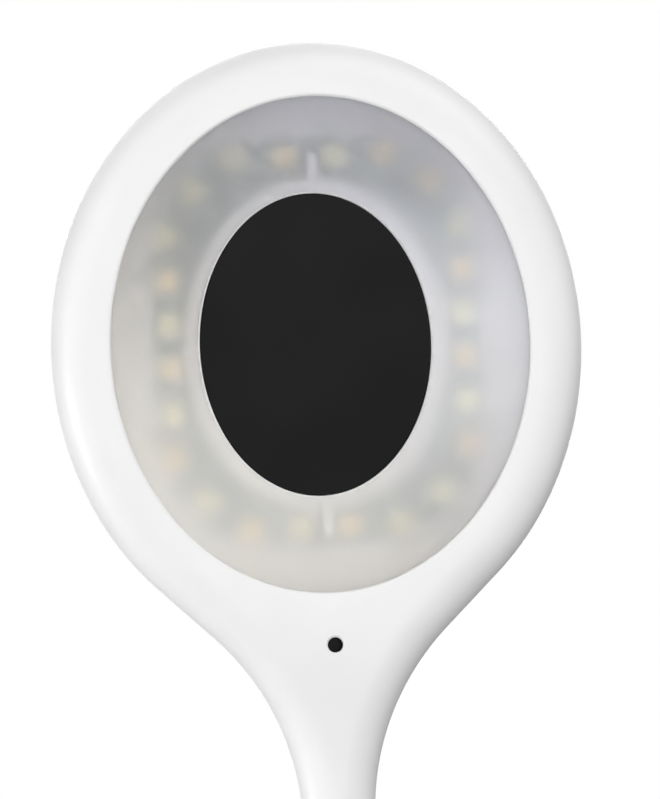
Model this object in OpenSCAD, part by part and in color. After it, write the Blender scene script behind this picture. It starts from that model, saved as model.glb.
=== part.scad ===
// USB voice light: oval light head on a bendable gooseneck with a USB plug at its foot.
// Millimetres. +Z is up, the light faces -Y, the origin is the plug's shoulder, centred on the plug.

/* [Head] */
// Width of the oval head
head_w = 70; // [66:1:80]
// Height of the head's top above the centre of its oval
head_rise = 40.2; // [39:0.2:46]
// Angle below the horizontal at which the outline leaves the oval
flare_angle = 50; // [47:0.5:56]
// Length of the straight run between the oval and the arc that flares into the neck
flare_straight = 10; // [6:0.5:12]
// Depth of the front half, from the parting plane to the crown
front_depth = 7; // [6.6:0.1:8.5]
// Depth of the rear half, from the parting plane to the back
rear_depth = 6; // [5.8:0.1:8]
// Width of the rounded border of the front half
front_round = 6; // [5:0.1:6.6]
// Width of the rounded border of the rear half
rear_round = 14; // [11:0.5:16]
// Side wall of the case
case_wall = 2.2; // [1.8:0.1:2.4]
// Thickness of the case's front around the window
front_wall = 2.6; // [2.2:0.1:2.8]
// Thickness of the case's back
rear_wall = 1.6; // [1.2:0.1:1.8]
// Wall of the neck around the gooseneck at its lower end
neck_wall = 0.75; // [0.7:0.05:1.4]

/* [Window] */
// Width of the bezel at the sides of the window
bezel_side = 7.6; // [7:0.1:8.4]
// Width of the bezel above the window
bezel_top = 7.6; // [6.8:0.1:8.2]
// Distance from the head's centre down to the window's lower edge
window_drop = 32.1; // [29:0.1:33]
// Distance from the case's crown back to the lens face
lens_recess = 0.6; // [0.4:0.1:1.3]
// Thickness of the frosted lens
lens_t = 1.5; // [1.2:0.1:2]
// Width of the lens edge held behind the bezel
lens_lip = 1.4; // [1:0.1:1.6]
// Width of the black centre plate
plate_w = 30.2; // [26:0.2:31]
// Height of the black centre plate
plate_h = 39.4; // [34:0.2:40.2]
// Thickness of the black centre plate
plate_t = 1.2; // [0.8:0.1:1.6]
// Distance of the centre plate to the left of the window's middle
plate_left = 0.7; // [0:0.1:1]
// Depth of the collar behind the centre plate
collar_depth = 2.2; // [1:0.1:2.6]

/* [Microphone] */
// Distance from the window's lower edge down to the microphone hole
mic_gap = 6.9; // [6.5:0.1:8]
// Diameter of the microphone hole
mic_hole_d = 2; // [1.2:0.1:3]
// Diameter of the microphone capsule
mic_d = 6; // [4:0.1:6.4]
// Length of the microphone capsule
mic_len = 2.2; // [1.4:0.1:2.4]

/* [Lights] */
// Distance from the window's edge in to the ring of LEDs
led_inset = 8; // [7.6:0.1:8.6]
// Distance of the ring of LEDs above the window's middle
led_up = 0.5; // [0:0.1:0.7]
// Spacing of the LEDs in the two columns
column_pitch = 5.8; // [5:0.1:6.2]
// Spacing of the LEDs in the two rows
row_pitch = 6.6; // [5.6:0.1:6.8]
// Length of one LED package
led_l = 3.5; // [2.8:0.1:3.6]
// Width of one LED package
led_w = 2.8; // [1.6:0.1:3]
// Height of one LED package
led_h = 0.8; // [0.5:0.1:1]
// Thickness of both circuit boards
board_t = 1; // [0.8:0.1:1.2]
// Distance from the lens down to the LED board
board_gap = 4; // [3.6:0.1:4.2]

/* [Gooseneck] */
// Length of gooseneck that shows between the plug and the head
neck_len = 140; // [120:5:200]
// Outside diameter of the steel hose
hose_d = 5.8; // [5.6:0.1:6.6]
// Wall of the silicone sleeve over the hose
sleeve_wall = 1.05; // [0.8:0.05:1.3]
// Most that one point of the gooseneck bends, in degrees
bend_max = 40; // [30:1:42]
// Wall of the hose around each hinge knuckle
socket_wall = 0.45; // [0.4:0.05:0.6]
// Diameter of one core of the power lead
core_d = 1; // [0.8:0.05:1.1]
// Length of sleeve held inside the head and inside the plug
sleeve_in = 6; // [4:0.5:7]
// Length of each ferrule
ferrule_len = 7; // [5:0.5:8]
// Wall of each ferrule
ferrule_wall = 0.5; // [0.4:0.05:0.6]
// Step of each ferrule's flange
flange_step = 0.6; // [0.4:0.05:0.7]

/* [Plug] */
// Length of the plug's housing
plug_len = 30; // [29:0.5:36]
// Width of the plug's housing
plug_w = 16.4; // [15.6:0.2:20]
// Thickness of the plug's housing
plug_t = 9.4; // [9.4:0.1:11]
// Width of the USB shell
usb_w = 12; // [11.9:0.05:12.1]
// Thickness of the USB shell
usb_t = 4.5; // [4.4:0.05:4.6]
// Length of the USB shell outside the housing
usb_len = 12; // [11.5:0.1:14]
// Length of the USB shell held in the housing
usb_in = 7; // [5:0.5:7.5]
// Sheet thickness of the USB shell
usb_sheet = 0.3; // [0.25:0.05:0.35]

/* [Fits] */
// Gap between parts that sit in each other
fit = 0.05; // [0.03:0.01:0.08]
// Gap around the lens and the centre plate
lens_fit = 0.15; // [0.1:0.05:0.25]
// Gap around the circuit boards
board_fit = 0.4; // [0.3:0.1:0.6]
// Diameter of the screws
screw_d = 2; // [1.6:0.1:2.1]
// Diameter of the screw heads
screw_head_d = 3.5; // [3:0.1:3.6]
// Height of the screw heads
screw_head_h = 1.2; // [0.9:0.1:1.4]

/* [Hidden] */

// Colours
white = [0.93, 0.93, 0.92];
frosted = [0.78, 0.78, 0.77];
black = [0.10, 0.10, 0.10];
mask_white = [0.90, 0.90, 0.88];
mask_green = [0.16, 0.42, 0.34];
steel = [0.72, 0.73, 0.75];
gold = [0.85, 0.68, 0.30];
rubber = [0.16, 0.16, 0.17];

// Play at the end of a seat, reach of one solid into another that it joins, reach of a cut past a face
end_gap = 0.1;
overlap = 0.3;
past = 1;

// Gooseneck
joint_count = 6;
hose_r = hose_d / 2;
sleeve_inner_r = hose_r + fit;
sleeve_r = sleeve_inner_r + sleeve_wall;
neck_r = sleeve_r + fit + neck_wall;
bore_r = core_d + 2 * fit;
core_x = core_d / 2 + fit / 2;
knuckle_r = hose_r - socket_wall - fit;
knuckle_len = 2 * sqrt(hose_r * hose_r - knuckle_r * knuckle_r) - 2 * fit;
bend_spare = 5;
stem_r = knuckle_r * cos(bend_max + bend_spare);
joint_pitch = neck_len / joint_count;
ferrule_r = hose_r + fit + ferrule_wall;
flange_r = ferrule_r + flange_step;
flange_t = 1.5;
neck_z = plug_len + neck_len;
function joint_z(k) = plug_len + (k - 0.5) * joint_pitch;

// Head outline: the right half of an oval, a straight run, then an arc that flares into the neck
function unit(p) = p / norm(p);
function mix(p, q, s) = p + (q - p) * s;
function smooth(s) = s * s * (3 - 2 * s);
half_w = head_w / 2;
touch = [half_w * cos(flare_angle), -head_rise * sin(flare_angle)];
touch_out = unit([cos(flare_angle) / half_w, -sin(flare_angle) / head_rise]);
bend = touch + flare_straight * [touch_out[1], -touch_out[0]];
flare_r = (bend[0] - neck_r) / (1 - touch_out[0]);
flare_c = bend + flare_r * touch_out;
flare_from = atan2(-touch_out[1], -touch_out[0]);
flare_len = flare_r * (180 - flare_from) * PI / 180;
bend_share = flare_straight / (flare_straight + flare_len);
neck_drop = -flare_c[1];
head_z = neck_z + neck_drop;

// One row of the outline: place across, place up, inward direction, share of the way down the neck
function oval_row(t) =
    let (way = unit([cos(t) / half_w, sin(t) / head_rise]))
    [half_w * cos(t), head_rise * sin(t), -way[0], -way[1], 0];
function straight_row(s) =
    let (p = mix(touch, bend, s))
    [p[0], p[1], -touch_out[0], -touch_out[1], smooth(s * bend_share)];
function flare_row(s) =
    let (f = mix(flare_from, 180, s), c = cos(f), d = sin(f))
    [flare_c[0] + flare_r * c, flare_c[1] + flare_r * d, c, d, smooth(mix(bend_share, 1, s))];
oval_steps = 36;
straight_steps = 4;
flare_steps = 14;
rows = concat(
    [for (i = [0 : oval_steps]) oval_row(mix(90, -flare_angle, i / oval_steps))],
    [for (i = [1 : straight_steps]) straight_row(i / straight_steps)],
    [for (i = [1 : flare_steps]) flare_row(i / flare_steps)]
);
last = len(rows) - 1;
band = 7;

// Fullness of the rounded borders: 2 is an ellipse, more is squarer
front_power = 2.4;
rear_power = 2.1;

// Window, lens, boards and depths, measured from the parting plane
window_a = half_w - bezel_side;
window_b = (head_rise - bezel_top + window_drop) / 2;
window_v = (head_rise - bezel_top - window_drop) / 2;
window_flare = 0.7;
lens_a = window_a + lens_lip;
lens_b = window_b + lens_lip;
lens_y = -(front_depth - lens_recess);
lens_back = lens_y + lens_t;
ceiling_y = -(front_depth - front_wall);
plate_a = plate_w / 2;
plate_b = plate_h / 2;
plate_floor = lens_y + plate_t;
recess_floor = 0.8;
boss_back = max(lens_back, plate_floor + recess_floor);
collar_wall = 1.2;
rib_w = 1;
rib_h = 4;
rib_in = 1.2;
led_a = window_a - led_inset;
led_b = window_b - led_inset;
board_y = lens_back + board_gap;
board_back = board_y + board_t;
board_edge = 2;
board_a = lens_a - board_edge;
board_b = lens_b - board_edge;
hole_a = led_a - board_edge;
hole_b = led_b - board_edge;
board_step = 0.9;
control_y = board_back + board_step;
control_back = control_y + board_t;
control_a = hole_a - board_fit;
control_b = hole_b - board_fit;
rear_inner = rear_depth - rear_wall;
pin_pitch = 2.54;
pin_w = 0.64;
pin_hole_r = 0.55;
pin_out = 0.6;
pin_gap = 4.4;
pin_v = window_v - led_b - pin_gap;
tongue_w = 12;
tongue_edge = 2.1;
tongue_v = pin_v - tongue_edge;
mic_v = -(window_drop + mic_gap);
mic_port = 0.4;
boot_wall = 1;
boot_lip = 0.5;
felt_t = 0.5;
mic_wire_r = 0.3;
mic_y = ceiling_y + felt_t;
neck_floor = 3;
lead_room = 0.4;
cavity_v = -neck_drop + sleeve_in + ferrule_len + neck_floor;

// Components on the control board: width, height, thickness, and places from the window's centre
voice_size = [4, 10, 1.4];
voice_v = 3;
leg_size = [1.1, 0.42, 0.3];
leg_pitch = 1.27;
transistor_size = [2.9, 1.4, 1];
transistor_x = 5;
transistor_v = -12.5;
small_cap_size = [2, 1.25, 0.9];
small_cap_x = 8;
small_cap_v = [4, 9];
large_cap_size = [3.2, 1.6, 1.2];
large_cap_v = -8;

// Plug: taper, edge, hollows for the soldered ends and for the lead
plug_power = 5;
plug_edge = 0.9;
plug_collar = 0.1;
taper_from = 0.5 * plug_len;
taper_len = 0.45 * plug_len;
solder_len = 1.5;
solder_room = [10.4, 4.2, 4];
core_room = [6.4, 3.6];
usb_corner = 0.6;
usb_inner_corner = 0.3;
usb_mouth = 0.4;
latch_w = 2.2;
latch_h = 2;
latch_x = 2.5;
latch_up = 5;
tongue_face = 0.05;
contact_near = 1;
contact_far = 3.5;
contact_w = 1;
contact_t = 0.25;
contact_up = 1;
contact_y = tongue_face - contact_t - fit / 2;
contact_groove = 0.3;
contact_tail = 1.4;
tail_x = 2.6;

// Screws
screw_r = screw_d / 2;
head_r = screw_head_d / 2;
slot_len = 2.2;
slot_w = 0.4;
slot_deep = 0.6;
boss_r = 2.2;
boss_a = lens_a + lens_fit + boss_r;
boss_b = lens_b + lens_fit + boss_r;
tube_wall = 1;
case_angles = [38, 142, 222, 318];
case_seat = 1.7;
case_tip = 3.7;
board_screw_x = 10.5;
board_screw_v = -7;
board_screw_tip = rear_inner + overlap;
post_r = 1.5;
post_in = 2;
post_angles = [22, 158, 202, 338];

// Points of an oval, of a rectangle with round corners
function oval(a, b, n = 72) = [for (i = [0 : n - 1]) [a * cos(360 * i / n), b * sin(360 * i / n)]];
function rounded(w, h, r, n = 6) = [
    for (c = [0 : 3], i = [0 : n])
        let (f = 90 * c + 90 * i / n)
        [(w / 2 - r) * ((c == 0 || c == 3) ? 1 : -1) + r * cos(f),
         (h / 2 - r) * (c < 2 ? 1 : -1) + r * sin(f)]
];

// Carries a flat shape, drawn across and up the head, from depth y0 to depth y1
module plate_between(y0, y1) {
    translate([0, y1, 0]) rotate([90, 0, 0]) linear_extrude(y1 - y0) children();
}

// Round bar along the depth from y0 to y1
module bar_between(y0, y1, r) {
    translate([0, y0, 0]) rotate([-90, 0, 0]) cylinder(h = y1 - y0, r = r, $fn = 40);
}

// Places something on the head's oval at an angle
module on_oval(a, b, angles) {
    for (t = angles) translate([a * cos(t), 0, window_v + b * sin(t)]) children();
}

// Places something at the screws of the control board
module board_screw_places() {
    for (x = [-board_screw_x, board_screw_x]) translate([x, 0, window_v + board_screw_v]) children();
}

module in_head() {
    translate([0, 0, head_z]) children();
}

// Reach of the rounded border at one row, kept short of the middle line
function reach(row, border) =
    row[0] < 0.001 ? border : min(mix(border, neck_r, row[4]), 0.96 * row[0] / -row[2]);

// One point of the rounded border: step j of the way from the edge (0) to the crown (band)
function border_point(row, j, depth, border, power, inset, thin) =
    let (f = 90 * j / band)
    let (n = mix(power, 2, row[4]))
    let (d = mix(inset, reach(row, border), 1 - pow(cos(f), 2 / n)))
    let (y = (mix(depth, neck_r, row[4]) - thin) * pow(sin(f), 2 / n))
    [row[0] + row[2] * d, y, row[1] + row[3] * d];
function mirrored(p) = [-p[0], p[1], p[2]];
function middle(p) = [0, p[1], p[2]];

// Half of the head's pebble, flat on the parting plane. The way is -1 for the front and 1 for the rear.
module half_head(way, depth, border, power, inset = 0, thin = 0) {
    right = [for (row = rows) [for (j = [0 : band]) border_point(row, j, depth, border, power, inset, thin)]];
    wide = 2 * band + 3;
    first = [for (p = right[0]) p];
    body = [
        for (i = [1 : last])
            concat(right[i], [middle(right[i][band])], [for (j = [0 : band]) mirrored(right[i][band - j])])
    ];
    points = [for (p = concat(first, [for (r = body) each r])) [p[0], way * p[1], p[2]]];
    function at(i, j) = band + 1 + (i - 1) * wide + j;
    sides = [
        for (j = [0 : band - 1]) each [
            [j, j + 1, at(1, j + 1), at(1, j)],
            [j + 1, j, at(1, wide - 1 - j), at(1, wide - 2 - j)]
        ],
        [band, at(1, band + 1), at(1, band)],
        [band, at(1, band + 2), at(1, band + 1)],
        for (i = [1 : last - 1], j = [0 : wide - 2])
            [at(i, j), at(i, j + 1), at(i + 1, j + 1), at(i + 1, j)]
    ];
    flats = [
        [0, at(1, 0), at(1, wide - 1)],
        for (i = [1 : last - 1]) [at(i, 0), at(i + 1, 0), at(i + 1, wide - 1), at(i, wide - 1)],
        [for (j = [0 : wide - 1]) at(last, j)]
    ];
    split = [for (f = sides) each len(f) == 3 ? [f] : [[f[0], f[1], f[2]], [f[0], f[2], f[3]]]];
    faces = concat(split, flats);
    polyhedron(points, way > 0 ? faces : [for (f = faces) [for (k = [len(f) - 1 : -1 : 0]) f[k]]]);
}

// Flat outline of the head, moved inward
module outline(inset) {
    right = [for (row = rows) [row[0] + row[2] * inset, row[1] + row[3] * inset]];
    polygon(concat(right, [for (i = [last : -1 : 1]) [-right[i][0], right[i][1]]]));
}

// Space above the solid part of the neck
module above_neck() {
    translate([-head_w, -20, cavity_v]) cube([2 * head_w, 40, 200]);
}

// Stepped bore of the neck: sleeve, ferrule, flange, lead
module neck_bore() {
    seat = sleeve_in - neck_drop;
    top = seat + ferrule_len;
    translate([0, 0, -neck_drop - past])
        cylinder(h = sleeve_in + past + end_gap, r = sleeve_r + fit, $fn = 60);
    translate([0, 0, seat]) cylinder(h = ferrule_len + 2 * end_gap, r = ferrule_r + fit, $fn = 60);
    translate([0, 0, top - flange_t]) cylinder(h = flange_t + 2 * end_gap, r = flange_r + fit, $fn = 60);
    translate([0, 0, top]) cylinder(h = neck_floor + past, r = bore_r + lead_room, $fn = 60);
}

// Flared window opening: a taper from the lens to the crown
module window_cut() {
    n = 72;
    inner = oval(window_a, window_b, n);
    outer = oval(window_a + window_flare, window_b + window_flare, n);
    deep = [for (p = inner) [p[0], lens_y + overlap, window_v + p[1]]];
    low = [for (p = inner) [p[0], lens_y, window_v + p[1]]];
    high = [for (p = outer) [p[0], -front_depth - end_gap, window_v + p[1]]];
    function ring(i, k) = i * n + (k % n);
    sides = [
        for (i = [0 : 1], k = [0 : n - 1]) each [
            [ring(i, k), ring(i, k + 1), ring(i + 1, k + 1)],
            [ring(i, k), ring(i + 1, k + 1), ring(i + 1, k)]
        ]
    ];
    ends = [[for (k = [n - 1 : -1 : 0]) ring(0, k)], [for (k = [0 : n - 1]) ring(2, k)]];
    faces = concat(sides, ends);
    polyhedron(concat(deep, low, high), [for (f = faces) [for (k = [len(f) - 1 : -1 : 0]) f[k]]]);
}

module front_bezel() {
    color(white) in_head() difference() {
        union() {
            difference() {
                half_head(-1, front_depth, front_round, front_power);
                intersection() {
                    plate_between(ceiling_y, past) outline(case_wall);
                    above_neck();
                }
                plate_between(lens_y, ceiling_y + overlap)
                    translate([0, window_v]) polygon(oval(lens_a + lens_fit, lens_b + lens_fit));
                window_cut();
            }
            on_oval(boss_a, boss_b, case_angles) bar_between(ceiling_y - overlap, 0, boss_r);
        }
        on_oval(boss_a, boss_b, case_angles) bar_between(-case_tip - end_gap, past, screw_r + fit);
        translate([0, 0, mic_v]) bar_between(-front_depth - past, 0, mic_hole_d / 2);
        neck_bore();
    }
}

module rear_cover() {
    color(white) in_head() difference() {
        union() {
            difference() {
                half_head(1, rear_depth, rear_round, rear_power);
                intersection() {
                    half_head(1, rear_depth, rear_round, rear_power, case_wall, rear_wall);
                    above_neck();
                }
            }
            intersection() {
                half_head(1, rear_depth, rear_round, rear_power, case_wall / 2, rear_wall / 2);
                union() {
                    on_oval(boss_a, boss_b, case_angles) bar_between(0, rear_depth, head_r + tube_wall);
                    on_oval(board_a - post_in, board_b - post_in, post_angles)
                        bar_between(board_back, rear_depth, post_r);
                    board_screw_places() bar_between(control_back, rear_depth, screw_r + tube_wall);
                }
            }
        }
        on_oval(boss_a, boss_b, case_angles) {
            bar_between(-past, rear_depth + past, screw_r + 2 * fit);
            bar_between(case_seat, rear_depth + past, head_r + 2 * fit);
        }
        board_screw_places() bar_between(control_back - past, board_screw_tip + end_gap, screw_r + fit);
        neck_bore();
    }
}

module diffuser_lens() {
    color(frosted) in_head() translate([0, 0, window_v]) difference() {
        union() {
            plate_between(lens_y, lens_back) polygon(oval(lens_a, lens_b));
            plate_between(lens_back - overlap, boss_back)
                polygon(oval(plate_a + collar_wall, plate_b + collar_wall));
            plate_between(boss_back - overlap, lens_back + collar_depth) difference() {
                polygon(oval(plate_a + collar_wall, plate_b + collar_wall));
                polygon(oval(plate_a, plate_b));
            }
            for (way = [-1, 1])
                translate([-rib_w / 2, lens_back - overlap, way * (led_b - rib_in) - rib_h / 2])
                    cube([rib_w, board_gap + overlap, rib_h]);
        }
        plate_between(lens_y - past, plate_floor) translate([-plate_left, 0])
            polygon(oval(plate_a + lens_fit, plate_b + lens_fit));
    }
}

module centre_plate() {
    color(black) in_head() translate([-plate_left, 0, window_v])
        plate_between(lens_y, plate_floor) polygon(oval(plate_a, plate_b));
}

module pin_places() {
    for (i = [0 : 3]) translate([(i - 1.5) * pin_pitch, 0, pin_v]) children();
}

module led_board() {
    color(mask_white) in_head() difference() {
        plate_between(board_y, board_back) translate([0, window_v]) difference() {
            polygon(oval(board_a, board_b));
            polygon(oval(hole_a, hole_b));
        }
        pin_places() bar_between(board_y - past, board_back + past, pin_hole_r);
    }
}

// Places of the LEDs: two columns, two rows and four corners. Each is [across, up, turn, warm].
column_top = 2.5 * column_pitch;
row_end = 1.5 * row_pitch;
led_places = concat(
    [for (way = [-1, 1], i = [0 : 5]) [way * led_a, column_top - i * column_pitch, 90, i % 2]],
    [for (way = [-1, 1], i = [0 : 3]) [i * row_pitch - row_end, way * led_b, 0, way > 0 ? i % 2 : 1 - i % 2]],
    [for (x = [-1, 1], y = [-1, 1])
        let (warm = x > 0 && y > 0 ? 1 : 0)
        [x * mix(led_a, row_end, 0.4), y * mix(led_b, column_top, 0.4), x * y > 0 ? -45 : 45, warm]]
);

module led_group(warm) {
    in_head() translate([0, board_y, window_v + led_up])
        for (p = led_places)
            if (p[3] == warm)
                translate([p[0], 0, p[1]]) rotate([0, -p[2], 0])
                    translate([-led_l / 2, -led_h, -led_w / 2]) cube([led_l, led_h, led_w]);
}

module warm_leds() {
    color([0.93, 0.62, 0.20]) led_group(1);
}

module cool_leds() {
    color([0.93, 0.86, 0.42]) led_group(0);
}

module control_board() {
    color(mask_green) in_head() difference() {
        plate_between(control_y, control_back) union() {
            translate([0, window_v]) polygon(oval(control_a, control_b));
            translate([-tongue_w / 2, tongue_v]) square([tongue_w, control_b]);
        }
        pin_places() bar_between(control_y - past, control_back + past, pin_hole_r);
        board_screw_places() bar_between(control_y - past, control_back + past, screw_r + 2 * fit);
    }
}

// Box on the front of the control board, centred at x and v
module chip_at(x, v, size) {
    translate([x - size[0] / 2, control_y - size[2], window_v + v - size[1] / 2])
        cube([size[0], size[2], size[1]]);
}

module voice_chip() {
    leg_x = (voice_size[0] + leg_size[0]) / 2;
    color(black) in_head() {
        chip_at(0, voice_v, voice_size);
        for (way = [-1, 1], i = [0 : 7])
            chip_at(way * leg_x, voice_v + (i - 3.5) * leg_pitch, leg_size);
    }
}

module driver_transistors() {
    color(rubber) in_head() for (way = [-1, 1]) chip_at(way * transistor_x, transistor_v, transistor_size);
}

module capacitors() {
    color([0.62, 0.47, 0.30]) in_head() {
        for (way = [-1, 1], v = small_cap_v) chip_at(way * small_cap_x, v, small_cap_size);
        chip_at(0, large_cap_v, large_cap_size);
    }
}

module board_pins() {
    color(gold) in_head() pin_places()
        translate([-pin_w / 2, board_y - pin_out, -pin_w / 2])
            cube([pin_w, control_back - board_y + 2 * pin_out, pin_w]);
}

// Pan-head screw along the depth: the head's seat at y, the tip towards way
module screw(y, way, len) {
    translate([0, y, 0]) difference() {
        union() {
            translate([0, way > 0 ? -screw_head_h : 0, 0]) bar_between(0, screw_head_h, head_r);
            translate([0, way > 0 ? 0 : -len, 0]) bar_between(0, len, screw_r);
        }
        for (t = [0, 90]) rotate([0, t, 0])
            translate([-slot_len / 2, way > 0 ? -screw_head_h - past : screw_head_h - slot_deep, -slot_w / 2])
                cube([slot_len, slot_deep + past, slot_w]);
    }
}

module board_screws() {
    color(steel) in_head() board_screw_places() screw(control_y, 1, board_screw_tip - control_y);
}

module case_screws() {
    color(steel) in_head() on_oval(boss_a, boss_b, case_angles) screw(case_seat, -1, case_seat + case_tip);
}

module mic_capsule() {
    color(steel) in_head() translate([0, 0, mic_v]) difference() {
        bar_between(mic_y, mic_y + mic_len, mic_d / 2);
        bar_between(mic_y - past, mic_y + mic_port, mic_hole_d / 2);
    }
}

module mic_boot() {
    color(rubber) in_head() translate([0, 0, mic_v]) difference() {
        bar_between(ceiling_y, mic_y + mic_len - end_gap, mic_d / 2 + fit + boot_wall);
        bar_between(mic_y, mic_y + mic_len + past, mic_d / 2 + fit);
        bar_between(ceiling_y - past, mic_y + past, mic_d / 2 - boot_lip);
    }
}

module mic_felt() {
    color(black) in_head() translate([0, 0, mic_v]) bar_between(ceiling_y, mic_y, mic_d / 2 - boot_lip - fit);
}

// Round lead along a list of points
module lead_along(path, r) {
    n = 10;
    count = len(path);
    function way(i) = unit(path[min(i + 1, count - 1)] - path[max(i - 1, 0)]);
    function side(i) = unit(cross([0, 1, 0], way(i)));
    points = [
        for (i = [0 : count - 1], k = [0 : n - 1])
            let (u = side(i))
            let (w = cross(way(i), u))
            path[i] + r * (cos(360 * k / n) * u + sin(360 * k / n) * w)
    ];
    faces = [
        [for (k = [0 : n - 1]) k],
        [for (k = [n - 1 : -1 : 0]) (count - 1) * n + k],
        for (i = [0 : count - 2], k = [0 : n - 1]) each [
            [i * n + k, (i + 1) * n + k, (i + 1) * n + (k + 1) % n],
            [i * n + k, (i + 1) * n + (k + 1) % n, i * n + (k + 1) % n]
        ]
    ];
    polyhedron(points, faces);
}

// Leads from the capsule's back up to the front of the control board's tongue
module mic_leads() {
    back = mic_y + mic_len + mic_wire_r + fit;
    pad = control_y - mic_wire_r - fit / 2;
    color([0.75, 0.20, 0.18]) in_head() for (way = [-1, 1]) {
        low_x = way * mic_d / 5;
        high_x = way * 0.32 * tongue_w;
        lead_along([
            [low_x, back, mic_v - mic_d / 8],
            [low_x, back, mic_v + mic_d / 8],
            [mix(low_x, high_x, 0.5), mix(back, pad, 0.5), mic_v + mic_d / 2],
            [high_x, pad, tongue_v - mic_d / 3],
            [high_x, pad, tongue_v + mic_d / 6]
        ], mic_wire_r);
    }
}

// Ferrule crimped on the hose, its flange at the top
module ferrule() {
    difference() {
        union() {
            cylinder(h = ferrule_len, r = ferrule_r, $fn = 60);
            translate([0, 0, ferrule_len - flange_t]) cylinder(h = flange_t, r = flange_r, $fn = 60);
        }
        translate([0, 0, -past]) cylinder(h = ferrule_len + 2 * past, r = hose_r + fit, $fn = 60);
    }
}

module upper_ferrule() {
    color(steel) translate([0, 0, neck_z + sleeve_in + end_gap]) ferrule();
}

module lower_ferrule() {
    color(steel) translate([0, 0, plug_len - sleeve_in - end_gap]) rotate([180, 0, 0]) ferrule();
}

// Round bar across the gooseneck at joint k: along X at odd joints, along Y at even ones
module knuckle(k, r, len) {
    translate([0, 0, joint_z(k)]) rotate(k % 2 == 1 ? [0, 90, 0] : [90, 0, 0])
        cylinder(h = len, r = r, center = true, $fn = 60);
}

// One length of hose from z0 to z1, seated on the knuckle of joint low and carrying that of joint high
module hose(z0, z1, low, high) {
    color(steel) difference() {
        union() {
            translate([0, 0, z0]) cylinder(h = z1 - z0 - (high > 0 ? hose_r : 0), r = hose_r, $fn = 60);
            if (high > 0) {
                translate([0, 0, z1 - hose_r - overlap]) cylinder(h = hose_r + overlap, r = stem_r, $fn = 60);
                knuckle(high, knuckle_r, knuckle_len);
            }
        }
        if (low > 0) {
            knuckle(low, knuckle_r + fit, 2 * hose_d);
            translate([0, 0, z0 + past]) cylinder(h = hose_r, r1 = stem_r, r2 = bore_r, $fn = 60);
        }
        translate([0, 0, z0 - past]) cylinder(h = z1 - z0 + hose_d, r = bore_r, $fn = 60);
    }
}

module hose_lower_stub() {
    hose(plug_len - sleeve_in - end_gap - ferrule_len, joint_z(1), 0, 1);
}

module hose_link(k) {
    hose(joint_z(k), joint_z(k + 1), k, k + 1);
}

module hose_link_1() {
    hose_link(1);
}

module hose_link_2() {
    hose_link(2);
}

module hose_link_3() {
    hose_link(3);
}

module hose_link_4() {
    hose_link(4);
}

module hose_link_5() {
    hose_link(5);
}

module hose_upper_stub() {
    hose(joint_z(joint_count), neck_z + sleeve_in + end_gap + ferrule_len, joint_count, 0);
}

module silicone_sleeve() {
    sleeve_len = neck_len + 2 * sleeve_in;
    color(white) translate([0, 0, plug_len - sleeve_in]) difference() {
        cylinder(h = sleeve_len, r = sleeve_r, $fn = 60);
        translate([0, 0, -past]) cylinder(h = sleeve_len + 2 * past, r = sleeve_inner_r, $fn = 60);
    }
}

// Two cores from the plug's outer contacts, through the hose, to the back of the control board's tongue
module power_lead() {
    core_r = core_d / 2;
    joint_end = usb_in + solder_len;
    low = plug_len - sleeve_in - ferrule_len - 3 * end_gap;
    high = neck_z + sleeve_in + ferrule_len + neck_floor;
    tail = head_z + tongue_v;
    joint_y = contact_y - core_r - fit;
    pad_y = control_back + core_r + fit;
    for (way = [-1, 1])
        color(way > 0 ? [0.70, 0.12, 0.10] : black) lead_along([
            [way * contact_far, joint_y, usb_in + overlap],
            [way * contact_far, joint_y, joint_end],
            [way * mix(contact_far, core_x, 0.4), mix(joint_y, 0, 0.4), mix(joint_end, low, 0.45)],
            [way * mix(contact_far, core_x, 0.85), mix(joint_y, 0, 0.85), mix(joint_end, low, 0.8)],
            [way * core_x, 0, low],
            [way * core_x, 0, high],
            [way * mix(core_x, tail_x, 0.35), mix(0, pad_y, 0.45), mix(high, tail, 0.45)],
            [way * mix(core_x, tail_x, 0.9), pad_y, tail - solder_len],
            [way * tail_x, pad_y, tail + solder_len]
        ], core_r);
}

// Cross-section of the plug's housing at height z: half width, half thickness, squareness
function plug_row(z) =
    let (s = smooth(max(0, min(1, (z - taper_from) / taper_len))))
    let (chamfer = plug_edge * pow(max(0, 1 - z / plug_edge), 2))
    let (top_r = neck_r + plug_collar)
    [mix(plug_w / 2, top_r, s) - chamfer, mix(plug_t / 2, top_r, s) - chamfer, mix(plug_power, 2, s)];

// Half of the plug's housing, flat on the parting plane
module half_plug(way) {
    n = 24;
    heights = concat(
        [0, plug_edge / 3, plug_edge],
        [for (i = [0 : 12]) mix(taper_from, plug_len, i / 12)]
    );
    count = len(heights);
    points = [
        for (z = heights, k = [0 : n])
            let (r = plug_row(z))
            let (c = cos(180 * k / n))
            let (s = sin(180 * k / n))
            [r[0] * sign(c) * pow(abs(c), 2 / r[2]), way * r[1] * pow(s, 2 / r[2]), z]
    ];
    wide = n + 1;
    sides = [
        for (i = [0 : count - 2], k = [0 : n - 1]) each [
            [i * wide + k, (i + 1) * wide + k, (i + 1) * wide + k + 1],
            [i * wide + k, (i + 1) * wide + k + 1, i * wide + k + 1]
        ]
    ];
    flats = [
        [for (k = [0 : n]) k],
        [for (k = [n : -1 : 0]) (count - 1) * wide + k],
        for (i = [0 : count - 2]) [i * wide + n, (i + 1) * wide + n, (i + 1) * wide, i * wide]
    ];
    faces = concat(sides, flats);
    polyhedron(points, way > 0 ? faces : [for (f = faces) [for (k = [len(f) - 1 : -1 : 0]) f[k]]]);
}

// Block with its foot at height z, centred across
module block(size, z) {
    translate([-size[0] / 2, -size[1] / 2, z]) cube(size);
}

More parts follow.
